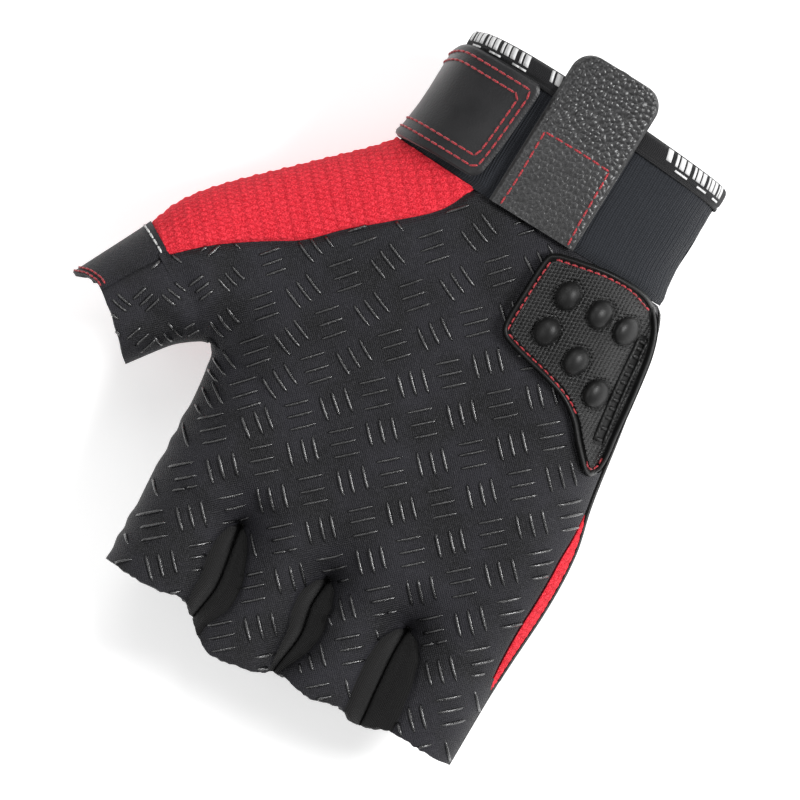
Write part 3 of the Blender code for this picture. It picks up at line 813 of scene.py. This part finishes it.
def add_hollow_shade(obj, relief):
    """Stores 1 in the hollows and 0 on the cells of a piece's relief, at the corners of its faces; the
    material paints shade into the hollows with it.
    """
    mesh = obj.data
    corner = np.empty(len(mesh.loops), np.int32)
    mesh.loops.foreach_get("vertex_index", corner)
    depth = 1 - np.clip(relief.ravel() / 1.1, 0, 1)
    value = depth[corner % relief.size]
    layer = mesh.uv_layers.new(name="hollow")
    layer.data.foreach_set("uv", np.stack([value, value], -1).astype(np.float32).ravel())


def make_thumb_mesh():
    """The red mesh from the thumb seam on the palm, round the outer edge, to the seam on the back."""
    def place(u, v):
        outer_y = part_way(THUMB_MESH_LOW, CUFF_Y[0] + 1, v)
        outer_x = curve_x(LEFT, outer_y)
        reach = 2 * u - 1
        palm_x, palm_y = curve_at(PALM_THUMB_SEAM, 1 - v)
        back_x, back_y = curve_at(BACK_THUMB_SEAM, 1 - v)
        share = 1 - np.cos(np.abs(reach) * math.pi / 2)
        x = part_way(outer_x, np.where(reach < 0, palm_x, back_x), share)
        y = part_way(outer_y, np.where(reach < 0, palm_y, back_y), share)
        past = np.maximum(thumb_along(x, y) - THUMB_ROOT - 1.2, 0)
        return skin(x - past * THUMB_AXIS[0], y - past * THUMB_AXIS[1], np.where(reach < 0, PALM, BACK))

    points = grid(place, 200, 200)
    points = seamed(points, HAND_CORE, ("u0", "u1", "v0"), depth=0.9, width=1.0, puff=0.4)
    obj = mesh_object("thumb_mesh", points, HAND_CORE, (0.72, 0.69, 0), height=0.17)
    place_on_hand(obj, "red_mesh", "thumb_mesh_panel")


# ---- finger stalls
GUSSET_STATIONS = (-36.0, -30.0, -22.0, -16.0, -12.2, -10.8)
# Width of the knit between a stall's palm side and its slits there: on the thumb's side and on the other
GUSSETS = {"index": ((0, 0, 0, 0, 0, 0), (2.6, 4.2, 5.0, 4.2, 2.2, 0.3)),
           "middle": ((3.4, 5.2, 5.2, 3.6, 2.0, 0.3), (0.8, 2.4, 4.0, 3.6, 2.0, 0.3)),
           "ring": ((1.0, 3.0, 4.6, 4.2, 2.4, 0.3), (4.8, 5.2, 5.2, 4.2, 2.2, 0.3)),
           "little": ((7.6, 7.8, 7.4, 6.0, 3.4, 0.3), (0, 0, 0, 0, 0, 0))}
BACK_EDGE = 43.0  # degrees below the sides where the back panels begin
# The CAD nodes of a stall's sides, towards the thumb and away from it
STALL_SIDES = {"index": ("outer_side", "gusset"), "middle": ("index_gusset", "ring_gusset"),
               "ring": ("middle_gusset", "little_gusset"), "little": ("gusset", "mesh_side")}


def stall_limits(finger, y):
    """The X limits of a stall at a station: its slits or the glove's own edges."""
    number = FINGERS.index(finger)
    left = curve_x(SLITS[number - 1], y) + SLIT_HALF if number else curve_x(INDEX_SIDE, y)
    right = curve_x(SLITS[number], y) - SLIT_HALF if number < 3 else curve_x(RIGHT, y)
    return left, right


def palm_side_angles(finger, y):
    """The angles of a stall's section where its palm-side panel starts (little-finger side) and ends."""
    left, right = stall_limits(finger, y)
    half = (right - left) / 2
    widths = (np.interp(y, GUSSET_STATIONS, row) for row in GUSSETS[finger][::-1])
    low, high = (np.degrees(np.arccos(np.clip(1 - width / half, 0, 1))) for width in widths)
    if finger == "little":
        low = low + 14 + 14 * ease(y, STRIP_LOW_Y, -10)
    return low, 180 - high


def stall_place(finger, angles):
    """A placing function for one panel of a stall; angles(y) gives the start and end of its section."""
    def place(u, v):
        end = np.interp(sum(stall_limits(finger, -30)) / 2, END_LINE[:, 0], END_LINE[:, 1])
        y = part_way(ROOT_Y, end, v)
        for _ in range(2):  # the raw end isn't straight: find it where each point comes to lie
            angle = part_way(*angles(y), u)
            left, right = stall_limits(finger, y)
            x = (left + right) / 2 + (right - left) / 2 * np.cos(np.radians(angle))
            ragged = 0.16 * np.sin(x * 1.7 + 2 * np.sin(x * 0.6)) + 0.05 * np.sin(x * 7.3 + 1)
            y = part_way(ROOT_Y, np.interp(x, END_LINE[:, 0], END_LINE[:, 1]) + ragged, v)
        return round_section(left, right, y, angle)
    return place


def make_stall(finger):
    """One finger's stall: its palm side, its back and the two sides between them."""
    left, right = stall_limits(finger, -25.0)
    core = np.array(((left + right) / 2, -25, 22))
    first, last = finger == FINGERS[0], finger == FINGERS[-1]

    def make(name, node, slot, surfaces, angles, across, sewn):
        """One panel, whose own limits are angles(y)."""
        points = grid(stall_place(finger, angles), across, 60)
        if sewn:
            points = seamed(points, core, sewn, depth=0.5, width=0.9, puff=0.2)
        on_palm = node == "palm_side"
        obj = grid_object(f"{finger}_{name}", points, core, surfaces, pattern="plan" if on_palm else "arc")
        if on_palm:
            emboss(obj)
        if slot == "red_mesh":
            low_z = skin(right, STRIP_LOW_Y, PALM)[2] + 1.5
            paint(obj, 1, lambda at: (at[:, 1] > STRIP_LOW_Y) & (at[:, 2] > low_z))
        bend = ((0, ROOT_Y - past, 0) for past in STALL_BEND)
        place_blended(obj, finger, slot, *bend, f"{finger}_{node}")

    sewn = (() if last else ("u0",)) + (() if first else ("u1",))
    make("palm_fabric", "palm_side", "embossed_palm", [GROUND],
         lambda y: palm_side_angles(finger, y), 34, sewn)
    make("back_fabric", "back", "black_knit", [KNIT],
         lambda y: (180 + BACK_EDGE, 360 - BACK_EDGE), 24, ("u0", "u1"))
    thumbward, outward = STALL_SIDES[finger]
    look = ("embossed_palm", [GROUND]) if first else ("black_knit", [KNIT])
    make("thumbward_side", thumbward, *look,
         lambda y: (palm_side_angles(finger, y)[1], 180 + BACK_EDGE), 26, ("u1",) if first else ("u0", "u1"))
    look = ("red_mesh", [KNIT, RED]) if last else ("black_knit", [KNIT])
    make("outward_side", outward, *look,
         lambda y: (-BACK_EDGE, palm_side_angles(finger, y)[0]), 26, ("u0", "u1"))


# ---- thumb stall
def thumb_edges(along):
    """Distances across the thumb, from its axis through the crotch, of its outer and inner edges."""
    found = []
    for edge in (LEFT, THUMB_INNER):
        offset = edge - CROTCH
        lengthwise = offset @ THUMB_AXIS
        order = np.argsort(lengthwise)
        found.append(np.interp(along, lengthwise[order], (offset @ THUMB_SIDE)[order]))
    return found


def thumb_end(share):
    """Where the thumb's raw end lies along its axis, from the inner corner (0) to the outer corner (1)."""
    line = np.interp(share, (0, 0.25, 0.47, 0.65, 0.82, 0.92, 1), (21.2, 19.4, 17.9, 17.3, 17.2, 18.6, 21.3))
    return line + 0.1 * np.sin(share * 23)


def thumb_place(angles, start):
    """A placing function for one panel of the thumb: a range of its section's angles, from a root station."""
    def place(u, v):
        turn = np.radians(part_way(*angles, u))
        along = part_way(start, thumb_end((1 - np.cos(turn)) / 2), v)
        outer, inner = thumb_edges(along)
        across = (outer + inner) / 2 + (inner - outer) / 2 * np.cos(turn)
        x, y = (CROTCH[axis] + THUMB_AXIS[axis] * along + THUMB_SIDE[axis] * across for axis in (0, 1))
        return skin(x, y, np.where(np.sin(turn) >= 0, PALM, BACK))
    return place


def sew_thumb_band(obj, points):
    """Adds the band's white stitches near the thumb's root and its two red rows at the raw end."""
    nu, nv = points.shape[:2]
    across = slice(int(0.05 * nu), int(0.62 * nu))
    sew(obj, points[across, int(0.08 * nv)], WHITE_THREAD, length=2.2, pitch=2.5)
    for share in (0.90, 0.97):
        sew(obj, points[across, int(share * nv)], RED_THREAD, length=1.6, pitch=1.7, radius=0.26)


def make_thumb():
    """The thumb's stall: four panels round it."""
    start, end = ((*(CROTCH + THUMB_AXIS * (THUMB_ROOT + past)), 0) for past in STALL_BEND)
    # name, CAD node, angles of the section, points across, seams, material and slot
    panels = (("palm_fabric", "palm_side", (42, 118), 34, ("u1",), GROUND, "embossed_palm"),
              ("outer_band", "end_band", (118, 218), 30, ("u0", "u1"), GROUND, "smooth_leather"),
              ("back_fabric", "back", (218, 316), 26, ("u0", "u1"), KNIT, "black_knit"),
              ("inner_side", "inner_gusset", (-44, 42), 26, ("u0",), GROUND, "embossed_palm"))
    for name, node, angles, across, sewn, surface, slot in panels:
        embossed = slot == "embossed_palm"
        root, puff = (THUMB_ROOT, 0.25) if embossed else (THUMB_ROOT - 2.5, 0.7)
        points = grid(thumb_place(angles, root), across, 50)
        points = seamed(points, THUMB_CORE, sewn, depth=0.6, width=0.9, puff=puff)
        pattern = "plan" if embossed else "arc"
        obj = grid_object(f"thumb_{name}", points, THUMB_CORE, [surface], pattern=pattern)
        if embossed:
            emboss(obj)
        if node == "end_band":
            sew_thumb_band(obj, points)
        place_blended(obj, "thumb", slot, start, end, f"thumb_{node}")


# ---- the cuff
CUFF_HALF_DEPTH = 22.0
SLIT_ANGLE = 176.0  # where the wrist opening lies round the cuff


def cuff_points(angle, y, lift):
    """Points round the cuff at angles and stations, raised by lift."""
    left, right = curve_x(LEFT, y), curve_x(RIGHT, y)
    turn = np.radians(angle)
    flat = round_section(left, right, y, angle)
    across = np.cos(turn) / np.maximum((right - left) / 2, 1)
    outward = np.stack([across, np.zeros_like(turn), np.sin(turn) / CUFF_HALF_DEPTH], -1)
    outward /= np.linalg.norm(outward, axis=-1, keepdims=True)
    return flat + outward * np.asarray(lift)[..., None]


def cuff_rim_y(angle):
    """The cuff's top edge stands higher on the palm side, most of all towards the thumb."""
    turn = np.radians(angle)
    return BINDING_Y - 2.6 + np.maximum(np.sin(turn), 0) ** 0.6 * (2.6 - 1.3 * np.cos(turn))


def make_cuff():
    """The two halves of the elastic cuff over their ranges of angles, ribbed and gathered at the seam."""
    for side, limits in (("palm", (-1, 166)), ("back", (191, 359))):
        def place(u, v, limits=limits):
            angle = part_way(*limits, u)
            y = part_way(CUFF_Y[0], cuff_rim_y(angle) - 1, v)
            ribs = 0.10 * np.cos(angle * 2.4) + 0.25 * np.sin(angle / 9.0 + y / 6.0) * np.sin(y / 4.0)
            return cuff_points(angle, y, ribs - 0.8 * bell(y - CUFF_Y[0], 1.2) + 0.2)

        obj = grid_object(f"cuff_{side}_fabric", grid(place, 190, 44), CUFF_CORE, [CUFF_KNIT], thickness=1.2)
        place_on_hand(obj, "cuff_elastic", f"cuff_{side}_knit")


def print_mark(angle, width, low, high, slant, profile):
    """A white mark on the binding: a slanted block of a width in degrees between two heights in mm."""
    outer = profile[:len(profile) // 2]

    def corner(share, side, proud):
        rise = low + (high - low) * share
        turn = np.array(angle + side + slant * share)
        lift = np.interp(rise, outer[:, 0], outer[:, 1]) + proud
        return cuff_points(turn, cuff_rim_y(turn) + rise, lift)

    return loft([[corner(share, *place) for place in ((0, 0.07), (width, 0.07), (width, -0.1), (0, -0.1))]
                 for share in np.linspace(0, 1, 5)])


def make_cuff_binding():
    """Tape folded over the cuff's top edge, with plain slanted blocks printed on its fold."""
    profile = smooth_curve([(-5.2, 0.25), (-5.3, 0.9), (-3.6, 1.15), (-1.0, 1.15), (0.1, 0.75),
                            (0.5, -0.2), (0.1, -1.2), (-1.0, -1.7), (-4.8, -1.8)], 4)

    def place(u, v):
        angle = -164 + u * 334
        rise, lift = curve_at(profile, v)
        return cuff_points(angle, cuff_rim_y(angle) + rise, lift - 0.35 * bell(rise + 4.2, 0.35))

    obj = grid_object("cuff_top_tape", grid(place, 240, 60), CUFF_CORE, [TAPE], thickness=0.5)
    marks = []
    for first, count in ((14, 12), (108, 2), (124, 12)):
        for k in range(count):
            marks.append((first + 3.7 * k, 2.7 - 1.3 * (k % 3 == 1), -2.7, 0.2, 1.3))
            if count > 2 and k % 4 < 2:
                marks.append((first + 3.7 * k, 3.8, -3.9, -3.4, 0.0))
    add_body(obj, PRINT, joined([print_mark(*mark, profile) for mark in marks]))
    place_on_hand(obj, "binding_tape", "cuff_top_binding")


def make_slit_binding():
    """Tape rolled round the edge of the wrist opening, open by a hair so that it stays one sheet."""
    def place(u, v):
        y = CUFF_Y[0] + 2 + v * (CUFF_Y[1] - 6 - CUFF_Y[0])
        turn = np.radians(4 + 352 * u)
        lift = 0.2 + 1.0 * np.sin(turn) + 0.15 * np.sin(y * 2.2)
        return cuff_points(SLIT_ANGLE + 2.2 * np.cos(turn), y, lift)

    points = grid(place, 24, 60)
    obj = grid_object("cuff_slit_tape", points, points.mean(axis=(0, 1)), [TAPE], thickness=0.5)
    place_on_hand(obj, "binding_tape", "cuff_slit_binding")


# ---- strap and pull tab
STRAP_ANGLES, ANCHOR_ANGLES = (112.5, 200.0), (202.5, 262.0)
STRAP_LIFT, LEATHER = 4.3, 1.6
DEGREE = 0.87  # millimetres round the cuff in one degree at the strap's free end


def strap_end(y, inset, corner):
    """The angle where the strap ends at a station, for an outline some way in from its edge."""
    low, high = STRAP_Y[0] + inset, STRAP_Y[1] - inset
    back = rounded(corner, np.minimum(y - low, high - y), 0.95)
    slant = 2.4 * (STRAP_Y[1] - y) / (STRAP_Y[1] - STRAP_Y[0])
    return STRAP_ANGLES[0] + slant + (inset + back) / DEGREE


def strap_place(angle, y, lift):
    """Points on the strap: round the thumb side it lies closer to the cuff and its top edge runs lower."""
    share = (y - STRAP_Y[0]) / (STRAP_Y[1] - STRAP_Y[0])
    round_side = ease(angle, 148, 184)
    return cuff_points(angle, y - 3.0 * round_side * share, lift - 1.9 * round_side)


def strap_row(inset, corner):
    """The path of a row of stitches round the strap's free end."""
    low, high = STRAP_Y[0] + inset, STRAP_Y[1] - inset
    y = spread(high, low, np.linspace(0, 1, 40))
    root = STRAP_ANGLES[1] - 6
    away, back = (np.linspace(root, strap_end(edge, inset, corner), 40) for edge in (high, low))
    angles = np.concatenate([away, strap_end(y, inset, corner), back[::-1]])
    stations = np.concatenate([np.full(40, high), y, np.full(40, low)])
    return strap_place(angles, stations, STRAP_LIFT + 0.3)


def sew_root_tape(obj):
    """Adds the tape over the strap's root: a flat tube along the strap's width, with plain blocks on it."""
    def tube(turn, y, puff=1.3):
        lift = STRAP_LIFT - 0.4 + puff * np.maximum(np.sin(turn), -0.3)
        return strap_place(192 + 7.5 * np.cos(turn), y, lift)

    turns = np.radians(range(0, 360, 20))
    stations = np.linspace(STRAP_Y[0] + 0.6, STRAP_Y[1] - 0.6, 16)
    add_body(obj, TAPE, loft([[tube(turn, y) for turn in turns] for y in stations]))
    for k in range(7):
        low = STRAP_Y[0] + 2.2 + 2.3 * k
        far = low + 1.5 - 0.6 * (k % 2)
        corners = ((low, 1.37), (far, 1.37), (far, 1.15), (low, 1.15))
        across = np.radians((55, 75, 95, 115, 135))
        add_body(obj, PRINT, loft([[tube(turn, *corner) for corner in corners] for turn in across]))


def strap_sheet(name, points, end):
    """A sheet of the strap's leather with pale cut edges, and its points; one end is an edge as well."""
    points = seamed(points, CUFF_CORE, (end, "v0", "v1"), depth=0.45, width=0.55, puff=0.1)
    return grid_object(name, points, CUFF_CORE, [STRAP, CUT_EDGE], LEATHER - 0.3, rim=1), points


def make_strap():
    """The strap's flap round the thumb side of the wrist, with its stitches and the tape over its root."""
    def flap(u, v):
        y = spread(*STRAP_Y, v)
        angle = part_way(strap_end(y, 0, 3.0), STRAP_ANGLES[1], u)
        droop = 0.5 * ease(angle, 119, STRAP_ANGLES[0])
        return strap_place(angle, y, STRAP_LIFT - droop + 0.12 * np.sin(angle / 5.0) * np.sin(y / 5.0))

    obj, _ = strap_sheet("strap_leather", grid(flap, 150, 60), "u0")
    for inset, corner in ((2.3, 2.2), (4.9, 1.6)):
        sew(obj, strap_row(inset, corner), RED_THREAD)
    sew_root_tape(obj)
    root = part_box("strap_anchor")[1].z / MM
    place_blended(obj, "strap", "smooth_leather", (0, 0, root - 3), (0, 0, root + 3), "strap_flap",
                  "strap_stitch_outer", "strap_stitch_inner")


def make_strap_anchor():
    """The part of the strap that is sewn to the cuff's back."""
    def anchor(u, v):
        return strap_place(part_way(*ANCHOR_ANGLES, u), spread(*STRAP_Y, v), STRAP_LIFT)

    obj, points = strap_sheet("strap_anchor_leather", grid(anchor, 60, 40), "u1")
    nu, nv = points.shape[:2]
    for share in (0.08, 0.92):
        sew(obj, points[:, int(share * nv)], RED_THREAD)
    sew(obj, points[int(0.93 * nu), int(0.08 * nv):int(0.92 * nv)], RED_THREAD)
    place_on_hand(obj, "smooth_leather", "strap_anchor")


PEBBLE, PEBBLE_HEIGHT = 1.5, 0.42


def pebbles(x, y):
    """Leather pebbles: rounded cells of uneven size with creases between them."""
    rng = np.random.default_rng(3)
    jitter = rng.uniform(0.06, 0.94, (64, 64, 2))
    x, y = x / PEBBLE, y / PEBBLE
    cell_x, cell_y = np.floor(x).astype(int), np.floor(y).astype(int)
    near = np.full((2, *x.shape), 9.0)
    for i in (-1, 0, 1):
        for j in (-1, 0, 1):
            seed = jitter[(cell_x + i) % 64, (cell_y + j) % 64]
            away = np.hypot(cell_x + i + seed[..., 0] - x, cell_y + j + seed[..., 1] - y)
            near[1] = np.minimum(near[1], np.maximum(near[0], away))
            near[0] = np.minimum(near[0], away)
    crease = 1 - np.exp(-((near[1] - near[0]) / 0.12))
    return PEBBLE_HEIGHT * (0.4 * crease + 0.6 * np.clip(1 - (near[0] / 0.62) ** 2, 0, 1))


TAB_SEAM = TAB_FOLD + 1.6
TAB_LIFT, TAB_CORNER = 2.1, 5.5
TAB_STITCHES = ([(-12.2, TAB_LOW - 0.5), (-12.0, 100), (-12.3, TAB_SEAM - 0.8)],
                [(-12.2, TAB_SEAM - 0.9), (-3, TAB_SEAM - 0.7), (6.6, TAB_SEAM - 0.9)],
                [(6.6, TAB_SEAM - 1), (6.9, 100), (7.4, TAB_LOW - 0.5)])


def tab_points(x, y, lift):
    """Points of the tab: it lies on the cuff and goes on straight past the cuff's top edge."""
    over = np.maximum(y - CUFF_Y[1], 0)
    place = skin(x, np.minimum(y, CUFF_Y[1]), PALM)
    place[..., 1] += over
    place[..., 2] += lift + 0.05 * over
    return place


def make_pull_tab():
    """The grained leather tab: the lower half is sewn to the cuff and the upper half is a separate free sheet.
    """
    def base(u, v):
        y = part_way(TAB_LOW - 0.8, TAB_SEAM, v)
        return tab_points(part_way(*TAB_X, u), y, TAB_LIFT + 0.25 * np.sin(v * math.pi))

    def free(u, v):
        y = part_way(TAB_SEAM, TAB_END, v)
        inset = rounded(TAB_CORNER, TAB_END - y)
        x = part_way(TAB_X[0] + inset, TAB_X[1] - inset, u)
        return tab_points(x, y, TAB_LIFT + 1.0 * v + 0.9 * np.sin(u * math.pi) * v)

    def leather(name, place, edges):
        smooth = grid(place, 150, 150)
        inward = edge_distance(smooth, edges)
        worn = 0.45 + 0.55 * ease(smooth[..., 1], TAB_SEAM - 3, TAB_SEAM + 5)
        grain = pebbles(smooth[..., 0], smooth[..., 1]) * worn * (1 - bell(inward, 0.7))
        points = smooth.copy()
        points[..., 2] += grain - 0.4 * bell(inward, 0.5)
        return grid_object(name, points, CUFF_CORE, [TAB], LEATHER - 0.2, smooth=smooth)

    obj = leather("tab_base_leather", base, ("u0", "u1"))
    for row in TAB_STITCHES:
        sew(obj, smooth_curve(row), RED_THREAD)
    place_on_hand(obj, "grain_leather", "pull_tab_base", "tab_stitch")
    obj = leather("tab_free_leather", free, ("u0", "u1", "v1"))
    start, end = ((0, TAB_SEAM + past, 0) for past in (0.5, 4))
    place_blended(obj, "pull_tab", "grain_leather", start, end, "pull_tab_free")


# ---- palm slider
SLIDER_LEFT = [(7, 88.9), (4.7, 87.3), (4, 84), (3.9, 76), (4, 68), (5.2, 64.6), (9, 62.8), (20, 60.3),
               (26, 58.5), (31, 55.3), (35, 51), (39, 47)]
SLIDER_RIGHT = [(34.2, 90.2), (36.8, 87.2), (38.6, 84), (40.2, 79), (41.4, 72.5), (42.5, 65), (43.4, 58),
                (44.3, 52), (44.3, 48.4)]
SLIDER_TOP = [(7, 88.9), (13, 90.4), (20, 91.8), (27, 92.1), (31, 91.6), (34.2, 90.2)]
SLIDER_TIP = [(39, 47), (40.8, 45.7), (42.8, 45.8), (44.3, 48.4)]
SLIDER_DOMES = [(14.2, 81), (23.4, 81.3), (31.2, 81.2), (14.3, 70.7), (24.4, 68.2), (33, 64)]
SLIDER_CHAIN = [(35.9, 81), (36.2, 78), (36.6, 74), (37, 70.5), (37.5, 67), (38, 63.5), (38.7, 59.5),
                (39.5, 54.8)]
SLIDER_STITCHES = ([(5.9, 65.8), (5.8, 70), (5.8, 80), (6.1, 86.0)],
                   [(6.8, 87.0), (14, 88.7), (20, 89.9), (27, 90.2), (33.2, 88.5)],
                   [(6.4, 65.1), (11, 63.9), (18, 62.4), (27, 59.5), (31.5, 57.2)],
                   [(39.8, 48.6), (41, 47.5), (42.8, 48.2), (42.8, 51.5)])
SLIDER_LIFT = 3.3
DOME_HALF = (3.0, 3.75)


def dome_distance(x, y, dome):
    """Distance from a dome's centre: 1 at its foot."""
    return np.hypot((x - dome[0]) / DOME_HALF[0], (y - dome[1]) / DOME_HALF[1])


def make_slider():
    """The moulded rubber plate on the heel of the palm: rolled rim, domes, ladder and pressed pattern."""
    sides = [smooth_curve(side) for side in (SLIDER_LEFT, SLIDER_RIGHT)]
    ends = [smooth_curve(end) for end in (SLIDER_TOP, SLIDER_TIP)]
    outline = np.concatenate([ends[0], sides[1], ends[1][::-1], sides[0][::-1]])
    chain = smooth_curve(SLIDER_CHAIN)

    def place(u, v):
        u, v = spread(0, 1, u), spread(0, 1, v)
        left, right = (np.stack(curve_at(side, v), -1) for side in sides)
        top, tip = (np.stack(curve_at(end, u), -1) for end in ends)
        u, v = u[..., None], v[..., None]
        top_corners, tip_corners = ((1 - u) * end[0] + u * end[-1] for end in ends)
        plan = (1 - u) * left + u * right + (1 - v) * (top - top_corners) + v * (tip - tip_corners)
        x, y = plan[..., 0], plan[..., 1]
        inward = distances(plan, outline)
        rise = SLIDER_LIFT - 2.4 * np.clip(1 - inward / 0.8, 0, 1) ** 2.4
        rise -= 0.85 * bell(inward - 1.55, 0.38) + 0.35 * ease(inward, 1.3, 1.8)
        rise -= 0.65 * ease(distances(plan, chain), 1.7, 1.3)
        for dome in SLIDER_DOMES:
            away = dome_distance(x, y, dome)
            rise += 2.7 * np.sqrt(np.clip(1 - away**2, 0, 1)) - 0.45 * bell(away - 1.1, 0.11)
        surface = skin(np.minimum(x, curve_x(RIGHT, y) - 2.6), y, PALM)
        surface[..., 0] = x
        surface[..., 2] += rise
        return surface

    def pressed(at):
        inside = (distances(at[:, :2], outline) > 2.0) & (distances(at[:, :2], chain) > 1.5)
        for dome in SLIDER_DOMES:
            inside &= dome_distance(at[:, 0], at[:, 1], dome) > 1.0
        return inside

    points = grid(place, 170, 220)
    surfaces = [RUBBER, PLATE]
    obj = grid_object("palm_slider_shell", points, HAND_CORE, surfaces, thickness=1.4, pattern="plan")
    paint(obj, 1, pressed)
    for row in SLIDER_STITCHES:
        sew(obj, smooth_curve(row), RED_THREAD, length=1.75, pitch=1.95, radius=0.25)
    add_ladder(obj, chain)
    place_on_hand(obj, "moulded_rubber", "palm_slider", "slider_stitch")


def add_ladder(obj, chain):
    """Adds the moulded ladder in the slider's recess: two rails and the rungs between them."""
    along = np.gradient(chain, axis=0)
    along /= np.linalg.norm(along, axis=1)[:, None]
    across = np.stack([-along[:, 1], along[:, 0]], -1) * 1.2
    for rail in (chain - across, chain + across):
        sew(obj, rail, RUBBER, length=2.8, pitch=1.4, radius=0.48)
    for k in np.linspace(0, len(chain) - 1, 12).round().astype(int):
        rung = np.array([chain[k] - across[k], chain[k] + across[k]])
        sew(obj, rung, RUBBER, length=3.0, pitch=2.3, radius=0.55)


# ---- knuckle guard
GUARD_HALF = np.array(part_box("knuckle_guard")[1]) / MM  # the guard is centred on X = 0 and Y = 0


def make_guard():
    """A hard shell with a pad over each knuckle, a rolled rim and slots between the pads."""
    def place(u, v):
        across, along = 2 * spread(0, 1, u) - 1, 2 * spread(0, 1, v) - 1
        half_y = GUARD_HALF[1] * (1 - 0.22 * np.abs(across) ** 3)
        x, y = GUARD_HALF[0] * across * (1 - 0.10 * np.abs(along) ** 3), half_y * along
        under = skin(x, np.maximum(y, 6.0), BACK)[..., 2] - 1.8
        edge = np.minimum((1 - np.abs(across)) * GUARD_HALF[0], (1 - np.abs(along)) * half_y)
        pad = 1 - 0.9 * bell(edge, 2.6)
        slot = sum(bell(x - gap, 1.1) for gap in (-20.5, 0, 20.5)) * ease(np.abs(along), 0.75, 0.45)
        ribs = 0.35 * np.cos(y * 2.1) * ease(edge, 2.5, 4)
        low = 0.28 * np.maximum(np.abs(x) - 33, 0) ** 1.4
        z = under + (low - under) * pad + 2.2 * slot + np.maximum(ribs, 0)
        return np.stack([x, y, np.minimum(np.maximum(z, 0.0), under)], -1)

    above = np.array((0, 0, 60))
    points = grid(place, 200, 70)
    obj = grid_object("knuckle_guard_shell", points, above, [SHELL], thickness=1.6, pattern="plan")
    place_on_hand(obj, "guard_shell", "knuckle_guard")


def finish_hidden_pieces():
    """The CAD pieces that lie between layers keep their shape and get the finish of their kind."""
    finishes = {"hook_patch": PILE, "loop_patch": PILE, "wrist_elastic": PILE,
                "slider_foam": FOAM, "knuckle_foam": FOAM}
    for name, surface in finishes.items():
        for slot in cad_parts[name].material_slots:
            slot.material = surface


# ---- stage, lights and camera
FLOOR_HALF, FLOOR_Z = 3.0, -0.0008  # metres
LIT_POINT = Vector((0, 0.03, 0.02))  # metres: where the lights point


def make_stage():
    """A pale floor just under the glove and an even white surround."""
    mesh = bpy.data.meshes.new("floor")
    corners = [(x * FLOOR_HALF, y * FLOOR_HALF, FLOOR_Z) for x, y in ((-1, -1), (1, -1), (1, 1), (-1, 1))]
    mesh.from_pydata(corners, [], [(0, 1, 2, 3)])
    look = Look("pale_floor")
    mesh.materials.append(look.set(Base_Color=(0.9, 0.9, 0.9, 1), Roughness=0.9, Emission_Strength=0.45,
                                   Emission_Color=(1, 1, 1, 1)))
    add_object("floor", mesh)
    world = bpy.data.worlds.new("studio")
    world.use_nodes = True
    surround = world.node_tree.nodes["Background"].inputs
    surround["Color"].default_value = (1, 1, 1, 1)
    surround["Strength"].default_value = 0.32
    bpy.context.scene.world = world
    bpy.context.scene.view_settings.view_transform = "Standard"


def area_light(name, place, size, power):
    """A soft rectangular light that points at the glove."""
    data = bpy.data.lights.new(name, "AREA")
    data.shape, data.size, data.size_y, data.energy = "RECTANGLE", size, size, power
    light = add_object(name, data)
    light.location = place
    light.rotation_euler = (LIT_POINT - Vector(place)).to_track_quat("-Z", "Y").to_euler()


VIEW_CENTRE, VIEW_WIDTH, VIEW_ROLL = (-7.75, 37.0, 22.0), 200.0, 31.8  # what the photograph's frame covers
VIEW_DISTANCE = 4000.0


def make_camera():
    """A camera with a long lens, straight above the palm and turned as the photograph is."""
    data = bpy.data.cameras.new("camera")
    data.sensor_width = 36.0
    data.lens = data.sensor_width * VIEW_DISTANCE / VIEW_WIDTH
    data.clip_end = 20
    camera = add_object("camera", data)
    camera.location = (Vector(VIEW_CENTRE) + Vector((0, 0, VIEW_DISTANCE))) * MM
    camera.rotation_euler = (0, 0, math.radians(VIEW_ROLL))
    bpy.context.scene.camera = camera


make_palm()
make_side_strip()
make_back()
make_thumb_mesh()
for finger_name in FINGERS:
    make_stall(finger_name)
make_thumb()
make_cuff()
make_cuff_binding()
make_slit_binding()
make_strap()
make_strap_anchor()
make_pull_tab()
make_slider()
make_guard()
finish_hidden_pieces()
make_stage()
area_light("key", (0.74, 0.48, 0.85), size=0.4, power=15)
area_light("top", (-0.40, 0.62, 0.95), size=0.6, power=3.5)
area_light("side", (-0.6, -0.5, 1.0), size=0.9, power=4)
make_camera()
